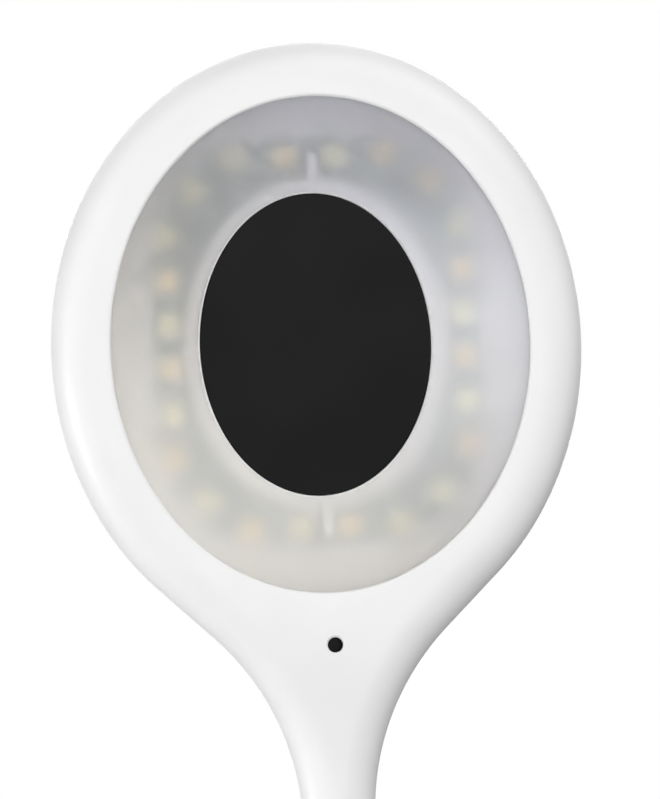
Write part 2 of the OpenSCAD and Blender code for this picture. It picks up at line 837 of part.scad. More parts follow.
// Hollow of the plug: shell, soldered ends, lead, ferrule with its flange, sleeve
module plug_hollow() {
    low = plug_len - sleeve_in - ferrule_len;
    seat = low - overlap;
    core_z = usb_in + solder_room[2] - past;
    block([usb_w + 2 * fit, usb_t + 2 * fit, usb_in + past + fit], -past);
    block(solder_room, usb_in);
    block([core_room[0], core_room[1], low - core_z], core_z);
    translate([0, 0, seat]) cylinder(h = ferrule_len + overlap + end_gap, r = ferrule_r + fit, $fn = 60);
    translate([0, 0, seat]) cylinder(h = flange_t + overlap, r = flange_r + fit, $fn = 60);
    translate([0, 0, plug_len - sleeve_in - end_gap])
        cylinder(h = sleeve_in + past, r = sleeve_r + fit, $fn = 60);
}

module plug_front() {
    color(white) difference() {
        half_plug(-1);
        plug_hollow();
    }
}

module plug_rear() {
    color(white) difference() {
        half_plug(1);
        plug_hollow();
    }
}

module usb_shell() {
    inner_w = usb_w - 2 * usb_sheet;
    inner_t = usb_t - 2 * usb_sheet;
    color(steel) difference() {
        translate([0, 0, -usb_len]) linear_extrude(usb_len + usb_in) difference() {
            polygon(rounded(usb_w, usb_t, usb_corner));
            polygon(rounded(inner_w, inner_t, usb_inner_corner));
        }
        for (way = [-1, 1]) translate([way * latch_x, 0, 0])
            block([latch_w, 2 * usb_t, latch_h], latch_up - usb_len);
    }
}

contact_places = [-contact_far, -contact_near, contact_near, contact_far];

// White tongue behind the contacts, and the block that fills the shell inside the housing
module usb_insulator() {
    inner_w = usb_w - 2 * usb_sheet - 2 * fit;
    inner_t = usb_t - 2 * usb_sheet - 2 * fit;
    color([0.92, 0.92, 0.90]) difference() {
        union() {
            translate([0, 0, usb_mouth - usb_len])
                linear_extrude(usb_len + usb_in - usb_mouth) intersection() {
                    polygon(rounded(inner_w, inner_t, usb_inner_corner));
                    translate([-usb_w, tongue_face]) square([2 * usb_w, usb_t]);
                }
            linear_extrude(usb_in) polygon(rounded(inner_w, inner_t, usb_inner_corner));
        }
        for (x = contact_places)
            translate([x - contact_w / 2 - fit, tongue_face - contact_groove - fit, -usb_len])
                cube([contact_w + 2 * fit, contact_groove + fit, 2 * (usb_len + usb_in)]);
    }
}

module usb_contacts() {
    inside = usb_len + usb_in - contact_up;
    color(gold) for (x = contact_places)
        translate([x - contact_w / 2, contact_y, contact_up - usb_len])
            cube([contact_w, contact_t, inside + (abs(x) > contact_near ? contact_tail : 0)]);
}

front_bezel();
rear_cover();
diffuser_lens();
centre_plate();
led_board();
warm_leds();
cool_leds();
control_board();
voice_chip();
driver_transistors();
capacitors();
board_pins();
board_screws();
case_screws();
mic_capsule();
mic_boot();
mic_felt();
mic_leads();
upper_ferrule();
hose_upper_stub();
hose_link_1();
hose_link_2();
hose_link_3();
hose_link_4();
hose_link_5();
silicone_sleeve();
power_lead();
hose_lower_stub();
lower_ferrule();
plug_front();
plug_rear();
usb_shell();
usb_insulator();
usb_contacts();
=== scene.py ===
"""Dresses a USB voice light: an oval head with a frosted window, a gooseneck and a USB plug.

Metres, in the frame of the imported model: +Z is up, the light faces -Y, the origin is the plug's shoulder.
"""

import math

import bmesh
import bpy
import numpy as np
from bpy.props import FloatProperty, FloatVectorProperty, PointerProperty
from mathutils import Matrix, Vector


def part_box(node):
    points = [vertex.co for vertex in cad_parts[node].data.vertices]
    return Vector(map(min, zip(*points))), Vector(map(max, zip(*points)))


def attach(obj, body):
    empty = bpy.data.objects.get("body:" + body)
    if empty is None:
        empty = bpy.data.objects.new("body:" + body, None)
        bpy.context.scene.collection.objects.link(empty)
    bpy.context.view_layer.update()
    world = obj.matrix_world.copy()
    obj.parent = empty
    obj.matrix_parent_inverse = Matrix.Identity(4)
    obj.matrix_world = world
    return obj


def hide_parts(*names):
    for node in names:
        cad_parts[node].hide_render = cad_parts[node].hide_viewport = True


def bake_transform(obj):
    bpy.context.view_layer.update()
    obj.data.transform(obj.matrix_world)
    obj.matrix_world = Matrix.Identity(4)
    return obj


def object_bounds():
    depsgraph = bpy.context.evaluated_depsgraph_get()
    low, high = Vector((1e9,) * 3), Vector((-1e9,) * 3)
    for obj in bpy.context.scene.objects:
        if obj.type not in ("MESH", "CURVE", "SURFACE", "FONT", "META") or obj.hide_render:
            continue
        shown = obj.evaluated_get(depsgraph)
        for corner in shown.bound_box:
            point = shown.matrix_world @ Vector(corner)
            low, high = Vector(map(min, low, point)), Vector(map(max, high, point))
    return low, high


bl_info = {
    "name": "USB Voice Light",
    "version": (1, 0, 0),
    "blender": (4, 5, 0),
    "location": "3D View > Sidebar > Voice Light",
    "description": "Builds the case, window, lights, gooseneck, plug and stage of a USB voice light",
    "category": "Object",
}

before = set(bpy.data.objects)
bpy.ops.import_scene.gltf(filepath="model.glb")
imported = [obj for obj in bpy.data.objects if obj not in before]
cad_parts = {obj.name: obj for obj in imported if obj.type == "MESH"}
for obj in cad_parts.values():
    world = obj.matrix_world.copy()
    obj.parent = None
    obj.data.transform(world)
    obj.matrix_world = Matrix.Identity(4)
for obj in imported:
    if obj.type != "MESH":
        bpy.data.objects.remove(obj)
CAD_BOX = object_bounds()

MM = 0.001
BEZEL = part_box("front_bezel")
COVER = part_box("rear_cover")
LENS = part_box("diffuser_lens")
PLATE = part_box("centre_plate")
LED_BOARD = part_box("led_board")
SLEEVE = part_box("silicone_sleeve")
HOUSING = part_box("plug_front")
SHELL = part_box("usb_shell")
WINDOW_Z = (LENS[0].z + LENS[1].z) / 2
MIC_Z = sum(corner.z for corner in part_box("mic_felt")) / 2
RISE = 40.2 * MM
HEAD_Z = BEZEL[1].z - RISE
LENS_LIP = 1.4 * MM
BODIES = ["plug", "link_1", "link_2", "link_3", "link_4", "link_5", "head"]
BENDS = len(BODIES) - 1
NECK_STOPS = np.linspace(HOUSING[1].z, BEZEL[0].z, len(BODIES))
LENS_HALF = LENS[1].x, (LENS[1].z - LENS[0].z) / 2
PLATE_HALF = (PLATE[1].x - PLATE[0].x) / 2, (PLATE[1].z - PLATE[0].z) / 2
PLATE_MIDDLE = (PLATE[0].x + PLATE[1].x) / 2, 0, (PLATE[0].z + PLATE[1].z) / 2

# Half the gap between two halves, and the distance at which points are merged
PARTING = 0.02 * MM
MERGE = 0.001 * MM
# Angles in degrees from which an edge stays sharp
SHARP, CORE_SHARP = 35, 50
# Power of an oval ring, and those of the case's rounded borders
OVAL, FRONT_POWER, REAR_POWER = 2, 2.4, 2.1
# Points round a ring of the window's pieces
WINDOW_STEPS = 192
# Colour sockets of a Mix node
MIX_COLOURS, MIX_RESULT = (6, 7), 2
# Pixels: height of the picture, and way from the head's middle to the picture's middle
PICTURE_TALL, AIM_RIGHT, AIM_UP = 799, 13, -52.5


# Settings


def length(name, description, default):
    """A length that a user may change."""
    return FloatProperty(
        name=name, description=description, default=default, min=0, unit="LENGTH", precision=5
    )


def angle(name, description, degrees):
    """An angle that a user may change."""
    return FloatProperty(name=name, description=description, default=math.radians(degrees), subtype="ANGLE")


def number(name, description, default):
    """A plain factor that a user may change."""
    return FloatProperty(name=name, description=description, default=default, min=0)


def colour(name, description, default):
    """A colour that a user may change."""
    return FloatVectorProperty(
        name=name, description=description, default=default, size=3, min=0, max=1, subtype="COLOR"
    )


class CaseSizes(bpy.types.PropertyGroup):
    """Sizes of the two halves of the head's case."""

    half_width: length("Half width", "Half the width of the oval head", BEZEL[1].x)
    top: length("Top", "Height of the head's top", BEZEL[1].z)
    rise: length("Rise", "Height of the head's top above the centre of its oval", RISE)
    flare_angle: angle("Flare angle", "Angle below the horizontal at which the outline leaves the oval", 50)
    flare_straight: length("Straight run", "Length of the straight run from oval to flare", 10 * MM)
    front_depth: length("Front depth", "Depth of the front half", -BEZEL[0].y)
    rear_depth: length("Rear depth", "Depth of the rear half", COVER[1].y)
    front_round: length("Front round", "Width of the front half's rounded border", 6 * MM)
    rear_round: length("Rear round", "Width of the rear half's rounded border", 14 * MM)
    neck_radius: length("Neck radius", "Radius of the case at the foot of the neck", 4.8 * MM)
    wall: length("Wall", "Thickness of the moulded skin", 0.75 * MM)
    seam: length("Seam", "Width of the bevel along the parting line", 0.16 * MM)
    mic_hole: length("Microphone hole", "Radius of the hole in front of the microphone", 1.0 * MM)
    mic_drop: length("Microphone drop", "Distance of that hole below the oval's centre", HEAD_Z - MIC_Z)


class WindowSizes(bpy.types.PropertyGroup):
    """Sizes of the window, its lens and the black plate in its middle."""

    half_width: length("Half width", "Half the width of the window", LENS[1].x - LENS_LIP)
    half_height: length("Half height", "Half the height of the window", LENS[1].z - WINDOW_Z - LENS_LIP)
    lip: length("Lip", "Radius of the window's rounded inner edge", 0.5 * MM)
    lens_thick: length("Lens", "Thickness of the frosted lens", 1.5 * MM)
    plate_gap: length("Plate gap", "Gap around the black plate", 0.05 * MM)
    rim: length("Rim", "Width of the sloping white rim around the plate", 0.22 * MM)
    collar_reach: length("Collar reach", "Reach of the collar's foot beyond the plate", 2.7 * MM)
    rib_width: length("Rib width", "Width of the two support ribs", 1.2 * MM)
    rib_height: length("Rib height", "Height of the two support ribs", 4.0 * MM)
    rib_gap: length("Rib gap", "Gap between those ribs and the lens", 0.5 * MM)
    rib_place: length("Rib place", "Distance of the ribs from the window's middle", 23.15 * MM)


class LightSizes(bpy.types.PropertyGroup):
    """Sizes and spacing of the LEDs."""

    ring_width: length("Ring half width", "Half the distance between the two columns", 19.4 * MM)
    ring_height: length("Ring half height", "Half the distance between the two rows", 24.35 * MM)
    ring_up: length("Ring height", "Distance of the LEDs' ring above the window's middle", 0.5 * MM)
    column_pitch: length("Column pitch", "Spacing of the LEDs in a column", 5.8 * MM)
    row_pitch: length("Row pitch", "Spacing of the LEDs in a row", 6.6 * MM)
    long: length("LED length", "Length of one LED", 3.5 * MM)
    wide: length("LED width", "Width of one LED", 2.8 * MM)
    tall: length("LED height", "Height of one LED", 0.8 * MM)


class NeckSizes(bpy.types.PropertyGroup):
    """Sizes of the gooseneck's sleeve and of the lead inside it."""

    sleeve_radius: length("Sleeve radius", "Outside radius of the silicone sleeve", SLEEVE[1].x)
    bore_radius: length("Sleeve bore", "Inside radius of the silicone sleeve", 2.95 * MM)
    core_radius: length("Core radius", "Radius of one core of the lead", 0.5 * MM)
    core_out: length("Core place", "Distance of each core from the middle of the neck", 0.525 * MM)


class PlugSizes(bpy.types.PropertyGroup):
    """Sizes of the plug's housing and its metal shell."""

    half_width: length("Half width", "Half the width of the housing", HOUSING[1].x)
    half_thick: length("Half thickness", "Half the thickness of the housing", -HOUSING[0].y)
    tall: length("Length", "Length of the housing", HOUSING[1].z)
    top_radius: length("Top radius", "Radius of the housing at its top", 4.9 * MM)
    edge: length("Edge", "Radius of the housing's lower edge", 0.9 * MM)
    sheet: length("Sheet", "Thickness of the shell's sheet metal", 0.3 * MM)
    corner: length("Corner", "Radius of the shell's corners", 0.6 * MM)


class Finishes(bpy.types.PropertyGroup):
    """Colours of the finishes."""

    case: colour("Case", "Moulded white case", (0.835, 0.835, 0.835))
    inside: colour("Inside", "White plastic behind the lens", (0.93, 0.93, 0.93))
    # The lens's two colours are painted light: warm and slightly lighter at lower left, cool and slightly
    # darker at upper right
    lens: colour("Lens", "Frosted lens at its lower left", (0.835, 0.815, 0.78))
    lens_far_painted_light: colour("Lens far", "Frosted lens at its upper right", (0.795, 0.795, 0.83))
    plate: colour("Plate", "Black centre plate", (0.014, 0.014, 0.014))
    sleeve: colour("Sleeve", "Silicone sleeve", (0.80, 0.80, 0.79))
    warm: colour("Warm LED", "Phosphor of the warm LEDs", (0.98, 0.72, 0.36))
    cool: colour("Cool LED", "Phosphor of the cool LEDs", (0.98, 0.94, 0.54))
    board: colour("LED board", "Pale green solder mask", (0.30, 0.345, 0.335))
    mask: colour("Control board", "Green solder mask", (0.02, 0.16, 0.09))


class StageSettings(bpy.types.PropertyGroup):
    """Camera and light."""

    turn: angle("Turn", "Angle of the camera to the left of the light's front", 5.2)
    lean: angle("Lean", "Angle by which the light leans left in the picture", 2.7)
    away: length("Distance", "Distance of the camera", 0.6)
    pixel: length("Pixel", "Size of one pixel at the head", 0.1318 * MM)
    ambient: number("Ambient", "Strength of the light from all round", 0.12)
    right: number("Right", "Strength of the lamp high on the right", 0.31)
    top: number("Top", "Strength of the lamp above", 0.28)
    left: number("Left", "Strength of the lamp on the left", 0.58)
    front: number("Front", "Strength of the strip lamp in front", 0.52)
    rear: number("Rear", "Strength of the lamp behind", 0.31)
    low: number("Low", "Strength of the lamp low on the left", 0.08)
    back: number("Back", "Strength of the lamp straight behind", 0.42)


class VoiceLight(bpy.types.PropertyGroup):
    """All settings of the voice light."""

    case: PointerProperty(type=CaseSizes)
    window: PointerProperty(type=WindowSizes)
    lights: PointerProperty(type=LightSizes)
    neck: PointerProperty(type=NeckSizes)
    plug: PointerProperty(type=PlugSizes)
    finish: PointerProperty(type=Finishes)
    stage: PointerProperty(type=StageSettings)


# Mesh tools


def piece(name, points, faces, *materials):
    """Mesh object at the origin, with its place in its points."""
    mesh = bpy.data.meshes.new(name)
    mesh.from_pydata([tuple(p) for p in points], [], [tuple(f) for f in faces])
    for material in materials:
        mesh.materials.append(material)
    obj = bpy.data.objects.new(name, mesh)
    bpy.context.scene.collection.objects.link(obj)
    return obj


def tidy(obj, sharp=SHARP, clean=True):
    """Shades a mesh smooth up to an angle. Cleaning merges doubled points and turns the faces outward."""
    bm = bmesh.new()
    bm.from_mesh(obj.data)
    if clean:
        bmesh.ops.remove_doubles(bm, verts=bm.verts, dist=MERGE)
        bmesh.ops.dissolve_degenerate(bm, dist=0.1 * MERGE, edges=bm.edges)
        bmesh.ops.recalc_face_normals(bm, faces=bm.faces)
    for face in bm.faces:
        face.smooth = True
    for edge in bm.edges:
        edge.smooth = len(edge.link_faces) == 2 and edge.calc_face_angle(0) < math.radians(sharp)
    bm.to_mesh(obj.data)
    bm.free()
    return obj


def face_along(obj, direction):
    """Turns an open skin so that its faces look along a direction on the whole."""
    total = Vector()
    for polygon in obj.data.polygons:
        total += polygon.normal * polygon.area
    if total.dot(Vector(direction)) < 0:
        obj.data.flip_normals()
    return obj


def settle(obj):
    """Puts what the modifiers make into the object's own mesh."""
    graph = bpy.context.evaluated_depsgraph_get()
    mesh = bpy.data.meshes.new_from_object(obj.evaluated_get(graph))
    obj.modifiers.clear()
    obj.data = mesh
    return obj


def thicken(obj, wall):
    """Gives an open skin a wall behind it."""
    modifier = obj.modifiers.new("Wall", "SOLIDIFY")
    modifier.thickness = wall
    modifier.offset = -1
    return settle(obj)


def cut(obj, *tools):
    """Cuts the tools out of a closed piece and removes them."""
    for tool in tools:
        modifier = obj.modifiers.new("Cut", "BOOLEAN")
        modifier.operation = "DIFFERENCE"
        modifier.solver = "EXACT"
        modifier.object = tool
    settle(obj)
    for tool in tools:
        bpy.data.objects.remove(tool)
    return tidy(obj, clean=False)


def join(name, *parts):
    """One object out of several, which keep their own finishes."""
    bm = bmesh.new()
    materials = []
    for part in parts:
        places = []
        for material in part.data.materials:
            if material not in materials:
                materials.append(material)
            places.append(materials.index(material))
        before = len(bm.faces)
        bm.from_mesh(part.data)
        bm.faces.ensure_lookup_table()
        for face in bm.faces[before:]:
            face.material_index = places[face.material_index]
    for part in parts:
        bpy.data.objects.remove(part)
    obj = piece(name, [], [], *materials)
    bm.to_mesh(obj.data)
    bm.free()
    return obj


def grid_faces(rows, columns, closed=False):
    """Quads of a grid of points, closed round each row if asked."""
    faces = []
    for row in range(0, (rows - 1) * columns, columns):
        for i in range(columns if closed else columns - 1):
            j = (i + 1) % columns
            faces.append((row + i, row + j, row + columns + j, row + columns + i))
    return faces


def even_angles(count):
    """Angles once round, evenly spaced."""
    return np.arange(count) * 2 * math.pi / count


def quarter_turn(count):
    """Angles from 0 to 90 degrees, evenly spaced."""
    return np.radians(np.linspace(0, 90, count))


def eased(share):
    """A share of the way that starts and ends gently."""
    return share * share * (3 - 2 * share)


def ring(half_w, half_h, power, angles):
    """Points across and up of a ring between an oval (power 2) and a rectangle (a high power)."""
    if half_w <= 0 or half_h <= 0:
        return np.zeros((len(angles), 2))
    c, s = np.cos(angles), np.sin(angles)
    radius = (np.abs(c / half_w) ** power + np.abs(s / half_h) ** power) ** (-1 / power)
    return np.column_stack([radius * c, radius * s])


def stack(name, rings, material, centre=(0, 0, 0), steps=64, capped=True, axis="Y"):
    """Piece of rings along an axis, with closed ends if capped. Each ring is (half width, half height,
    power, place along), which a shift across and up may follow."""
    if capped:
        rings = [(0, 0, *rings[0][2:]), *rings, (0, 0, *rings[-1][2:])]
    angles = even_angles(steps)
    points = []
    for half_w, half_h, power, along, *shift in rings:
        across = ring(half_w, half_h, power, angles) + np.array(shift or (0, 0))
        points.append(np.column_stack([across, np.full(steps, along)]))
    order = [0, 2, 1] if axis == "Y" else [0, 1, 2]
    points = np.vstack(points)[:, order] + np.array(centre)
    return tidy(piece(name, points, grid_faces(len(rings), steps, True), material))


def turned(name, profile, *rest, **more):
    """Round piece. The profile lists (radius, place along)."""
    return stack(name, [(r, r, OVAL, h) for r, h in profile], *rest, **more)


def tube(path, radius, sides=20):
    """Points and faces of a closed round tube along a path that runs mainly upward."""
    way = np.gradient(path, axis=0)
    way /= np.linalg.norm(way, axis=1)[:, None]
    across = np.cross([0.0, 1.0, 0.0], way)
    across /= np.linalg.norm(across, axis=1)[:, None]
    over = np.cross(way, across)
    a = even_angles(sides)[:, None]
    rings = [p + radius * (np.cos(a) * u + np.sin(a) * w) for p, u, w in zip(path, across, over)]
    points = np.vstack([path[:1], *rings, path[-1:]])
    end = len(points) - 1
    faces = [tuple(k + 1 for k in f) for f in grid_faces(len(path), sides, True)]
    faces += [(0, 1 + (j + 1) % sides, 1 + j) for j in range(sides)]
    faces += [(end, end - sides + j, end - sides + (j + 1) % sides) for j in range(sides)]
    return points, faces


def rounded_path(points, per_span=10):
    """Smooth curve through points."""
    p = np.array(points, float)
    p = np.vstack([2 * p[0] - p[1], p, 2 * p[-1] - p[-2]])
    t = np.linspace(0, 1, per_span, endpoint=False)[:, None]
    out = []
    for a, b, c, d in zip(p[:-3], p[1:-2], p[2:-1], p[3:]):
        square, cube = 2 * a - 5 * b + 4 * c - d, 3 * b - a - 3 * c + d
        out.append(0.5 * (2 * b + (c - a) * t + square * t**2 + cube * t**3))
    return np.vstack(out + [p[-2][None]])


def place_tree():
    """Node tree that puts a shape on each point, turned about the depth by the point's own angle."""
    title = "Shape on points"
    if title in bpy.data.node_groups:
        return bpy.data.node_groups[title]
    tree = bpy.data.node_groups.new(title, "GeometryNodeTree")
    entries = (("Points", "Geometry"), ("Shape", "Object"), ("Size", "Float"), ("Finish", "Material"))
    for name, kind in entries:
        tree.interface.new_socket(name, in_out="INPUT", socket_type="NodeSocket" + kind)
    tree.interface.new_socket("Mesh", in_out="OUTPUT", socket_type="NodeSocketGeometry")
    new = tree.nodes.new
    given, made = new("NodeGroupInput"), new("NodeGroupOutput")
    shape, turn = new("GeometryNodeObjectInfo"), new("GeometryNodeInputNamedAttribute")
    turn.data_type = "FLOAT"
    turn.inputs["Name"].default_value = "turn"
    axes, euler = new("ShaderNodeCombineXYZ"), new("FunctionNodeEulerToRotation")
    put, real = new("GeometryNodeInstanceOnPoints"), new("GeometryNodeRealizeInstances")
    paint = new("GeometryNodeSetMaterial")
    for source, output, target, entry in (
        (given, "Points", put, "Points"),
        (given, "Shape", shape, "Object"),
        (shape, "Geometry", put, "Instance"),
        (turn, "Attribute", axes, "Y"),
        (axes, "Vector", euler, "Euler"),
        (euler, "Rotation", put, "Rotation"),
        (given, "Size", put, "Scale"),
        (put, "Instances", real, "Geometry"),
        (real, "Geometry", paint, "Geometry"),
        (given, "Finish", paint, "Material"),
        (paint, "Geometry", made, "Mesh"),
    ):
        tree.links.new(source.outputs[output], target.inputs[entry])
    return tree


def repeat(name, shape, places, turns, material):
    """One piece with a copy of the shape at each place, turned about the depth."""
    obj = piece(name, places, [])
    turn = obj.data.attributes.new("turn", "FLOAT", "POINT")
    turn.data.foreach_set("value", [float(t) for t in turns])
    tree = place_tree()
    modifier = obj.modifiers.new("Places", "NODES")
    modifier.node_group = tree
    values = {"Shape": shape, "Size": 1.0, "Finish": material}
    for item in tree.interface.items_tree:
        if item.in_out == "INPUT" and item.name in values:
            modifier[item.identifier] = values[item.name]
    settle(obj)
    bpy.data.objects.remove(shape)
    return obj


def ride(obj, body, slot, *nodes):
    """The piece moves with a body and stands for CAD nodes, which are hidden. The slot is not used."""
    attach(obj, body)
    if nodes:
        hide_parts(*nodes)


def bend(obj, k, slot, *nodes):
    """Puts the piece's placement into its points and hides the CAD nodes it stands for. The body number and
    the slot are not used.
    """
    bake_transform(obj)
    if nodes:
        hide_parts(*nodes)


def dress(node, material):
    """Gives a CAD node a finish."""
    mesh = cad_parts[node].data
    mesh.materials.clear()
    mesh.materials.append(material)


# Finishes


def feed(tree, node, inputs):
    """Sets a node's inputs to values, or links them to the outputs of other nodes."""
    for key, given in inputs.items():
        if isinstance(given, bpy.types.NodeSocket):
            tree.links.new(given, node.inputs[key])
        else:
            node.inputs[key].default_value = given


def add_node(tree, kind, output, inputs, **values):
    """An output of a new shader node whose inputs are fed."""
    node = tree.nodes.new("ShaderNode" + kind)
    for key, value in values.items():
        setattr(node, key, value)
    feed(tree, node, inputs)
    return node.outputs[output]


def work_out(tree, operation, first, second=0.0):
    """Result of a sum on two numbers or outputs."""
    return add_node(tree, "Math", "Value", {0: first, 1: second}, operation=operation)


def shades(rgb, step):
    """A darker and a lighter shade of a colour."""
    return tuple(c * (1 - step) for c in rgb), tuple(min(1, c * (1 + step)) for c in rgb)


class Finish:
    """A material that is put together step by step on Object coordinates."""

    def __init__(self, name):
        self.material = bpy.data.materials.new(name)
        self.material.use_nodes = True
        self.tree = self.material.node_tree
        self.shader = self.tree.nodes["Principled BSDF"]
        self.place = self.add("TexCoord", "Object", {})

    def add(self, kind, output, inputs, **values):
        """An output of a new node in the material."""
        return add_node(self.tree, kind, output, inputs, **values)

    def stretched(self, x, y, z):
        """The place, scaled along the three axes."""
        return self.add("Mapping", "Vector", {"Vector": self.place, "Scale": (x, y, z)})

    def along(self, direction):
        """How far the place lies along a direction."""
        return self.add("VectorMath", "Value", {0: self.place, 1: direction}, operation="DOT_PRODUCT")

    def noise(self, scale, detail=3, rough=0.5, place=None):
        """Cloudy value from 0 to 1, its features about 1 / scale metres wide."""
        inputs = {"Scale": scale, "Detail": detail, "Roughness": rough, "Vector": place or self.place}
        return self.add("TexNoise", "Fac", inputs)

    def spread(self, value, low, high, from_low=0.3, from_high=0.7):
        """A value carried from one range to another."""
        inputs = {"Value": value, "From Min": from_low, "From Max": from_high, "To Min": low, "To Max": high}
        return self.add("MapRange", "Result", inputs)

    def blend(self, value, first, second):
        """Colour between two colours or colour outputs."""
        pair = (c if isinstance(c, bpy.types.NodeSocket) else (*c, 1) for c in (first, second))
        inputs = {"Factor": value, **dict(zip(MIX_COLOURS, pair))}
        return self.add("Mix", MIX_RESULT, inputs, data_type="RGBA")

    def shaded(self, value, rgb, step, *span):
        """Colour that drifts with a value between a darker and a lighter shade."""
        return self.blend(self.spread(value, 0, 1, *span), *shades(rgb, step))

    def bump(self, value, depth, strength):
        """Relief of a depth in metres."""
        return self.add("Bump", "Normal", {"Strength": strength, "Distance": depth, "Height": value})

    def set(self, **sockets):
        """Feeds sockets of the shader, such as base_color or roughness, and gives the material."""
        titles = [name.replace("_", " ").title().replace("Ior", "IOR") for name in sockets]
        feed(self.tree, self.shader, dict(zip(titles, sockets.values())))
        return self.material


def moulded(name, rgb, rough=0.4, grain=2600, depth=0.004 * MM, drift=0.02, **sockets):
    """Moulded plastic: slight drift in shade, uneven gloss and a fine eroded grain."""
    f = Finish(name)
    return f.set(
        base_color=f.shaded(f.noise(60, 4), rgb, drift),
        roughness=f.spread(f.noise(240, 4, 0.6), rough - 0.05, rough + 0.05),
        normal=f.bump(f.noise(grain, 2), depth, 0.5),
        **sockets,
    )


def metal(name, rgb, rough=0.25, stretch=(1, 1, 1), scale=900, depth=0.003 * MM, drift=0.05):
    """Metal with fine drawn marks along one axis."""
    f = Finish(name)
    marks = f.noise(scale, 4, 0.6, f.stretched(*stretch))
    return f.set(
        base_color=f.shaded(f.noise(180, 4), rgb, drift),
        metallic=1.0,
        roughness=f.spread(marks, rough - 0.08, rough + 0.10),
        normal=f.bump(marks, depth, 0.6),
    )


def frosted(name, near, far):
    """Milky frosted plastic that lets blurred shapes through, with painted light: warmer and slightly
    lighter at lower left, cooler and slightly darker at upper right. The frosting is coarser away from the
    window's upright and level axes."""
    f = Finish(name)
    slope, reach, step = 0.7, 20 * MM, 0.015
    middle = slope * WINDOW_Z
    # Painted light: the colour runs from a warmer, lighter tone at lower left to a cooler, darker one at
    # upper right
    painted_light_tint = f.spread(f.along((slope, 0, slope)), 0, 1, middle - reach, middle + reach)
    dark, light = zip(shades(near, step), shades(far, step))
    cloud = f.spread(f.noise(50), 0, 1)
    up = work_out(f.tree, "SUBTRACT", f.along((0, 0, 1)), WINDOW_Z)
    off_axis = work_out(f.tree, "ABSOLUTE", work_out(f.tree, "MULTIPLY", f.along((1, 0, 0)), up))
    coarse = f.spread(off_axis, 0, 0.24, 180 * MM**2, 245 * MM**2)
    return f.set(
        base_color=f.blend(cloud, f.blend(painted_light_tint, *dark), f.blend(painted_light_tint, *light)),
        roughness=work_out(f.tree, "ADD", f.spread(f.noise(300), 0.53, 0.57), coarse),
        normal=f.bump(f.noise(5000, 2), 0.002 * MM, 0.4),
        transmission_weight=0.9,
        ior=1.33,
        coat_weight=0.19,
        coat_roughness=0.15,
        coat_ior=1.5,
    )


def solder_mask(name, rgb, copper):
    """Solder mask over etched tracks, which show as slightly raised paler lines."""
    f = Finish(name)
    cells = {"Scale": 260, "Randomness": 0.55, "Vector": f.place}
    tracks = f.add("TexVoronoi", "Distance", cells, feature="DISTANCE_TO_EDGE", distance="CHEBYCHEV")
    line = f.spread(tracks, 1, 0, 0.04, 0.07)
    return f.set(
        base_color=f.blend(line, f.shaded(f.noise(120), rgb, 0.06), copper),
        roughness=f.spread(f.noise(700), 0.26, 0.40),
        normal=f.bump(line, 0.02 * MM, 0.6),
    )


def phosphor(name, rgb):
    """Silicone with phosphor grains."""
    f = Finish(name)
    grain = f.add("TexVoronoi", "Distance", {"Scale": 9000, "Vector": f.place})
    return f.set(
        base_color=f.shaded(grain, rgb, 0.10, 0.1, 0.8),
        roughness=f.spread(f.noise(1500, 2), 0.22, 0.34),
        normal=f.bump(grain, 0.004 * MM, 0.5),
    )


def felt(name, rgb):
    """Pressed fibres."""
    f = Finish(name)
    fibres = f.noise(5200, 6, 0.8)
    return f.set(
        base_color=f.shaded(fibres, rgb, 0.4),
        roughness=f.spread(fibres, 0.85, 1.0),
        normal=f.bump(fibres, 0.05 * MM, 1.0),
        sheen_weight=0.25,
    )


def stored(name, make, *values, **more):
    """The material of that name, made at its first use."""
    return bpy.data.materials.get(name) or make(name, *values, **more)


def case_white(finish):
    return stored("white_shell", moulded, finish.case, 0.46, specular_ior_level=0.3)


def inner_white(finish):
    return stored("white_inside", moulded, finish.inside, 0.5, 1800)


def steel():
    return stored("plated_steel", metal, (0.56, 0.57, 0.58), 0.24, (1, 1, 0.15))


def gold():
    return stored("gold_plate", metal, (0.86, 0.60, 0.22), 0.20, (1, 1, 0.1))


def red_wire():
    return stored("red_wire", moulded, (0.42, 0.03, 0.025), 0.4, 1500)


# Case


def head_outline(case):
    """Right half of the head's outline, top to neck, and the row at which it leaves the oval.
    Each row is place across, place up, inward direction, share of the way down the neck."""
    oval_rows, run_rows, flare_rows = 111, 15, 49
    a, b = case.half_width, case.rise
    t = np.linspace(math.pi / 2, -case.flare_angle, oval_rows)
    x, z = a * np.cos(t), b * np.sin(t)
    x[0] = 0
    out = np.column_stack([np.cos(t) / a, np.sin(t) / b])
    out /= np.linalg.norm(out, axis=1)[:, None]
    oval = np.column_stack([x, z, -out])
    way = out[-1]
    run = np.linspace(0, case.flare_straight, run_rows)[1:, None]
    straight = np.hstack([oval[-1, :2] + run * [way[1], -way[0]], np.tile(-way, (len(run), 1))])
    radius = (straight[-1, 0] - case.neck_radius) / (1 - way[0])
    centre = straight[-1, :2] + radius * way
    start = math.atan2(-way[1], -way[0])
    f = np.linspace(start, math.pi, flare_rows)[1:]
    turn = np.column_stack([np.cos(f), np.sin(f)])
    flare = np.hstack([centre + radius * turn, turn])
    share = np.concatenate([np.zeros(len(oval) + len(straight)), (f - start) / (math.pi - start)])
    return np.column_stack([np.vstack([oval, straight, flare]), eased(share)]), len(oval) - 1


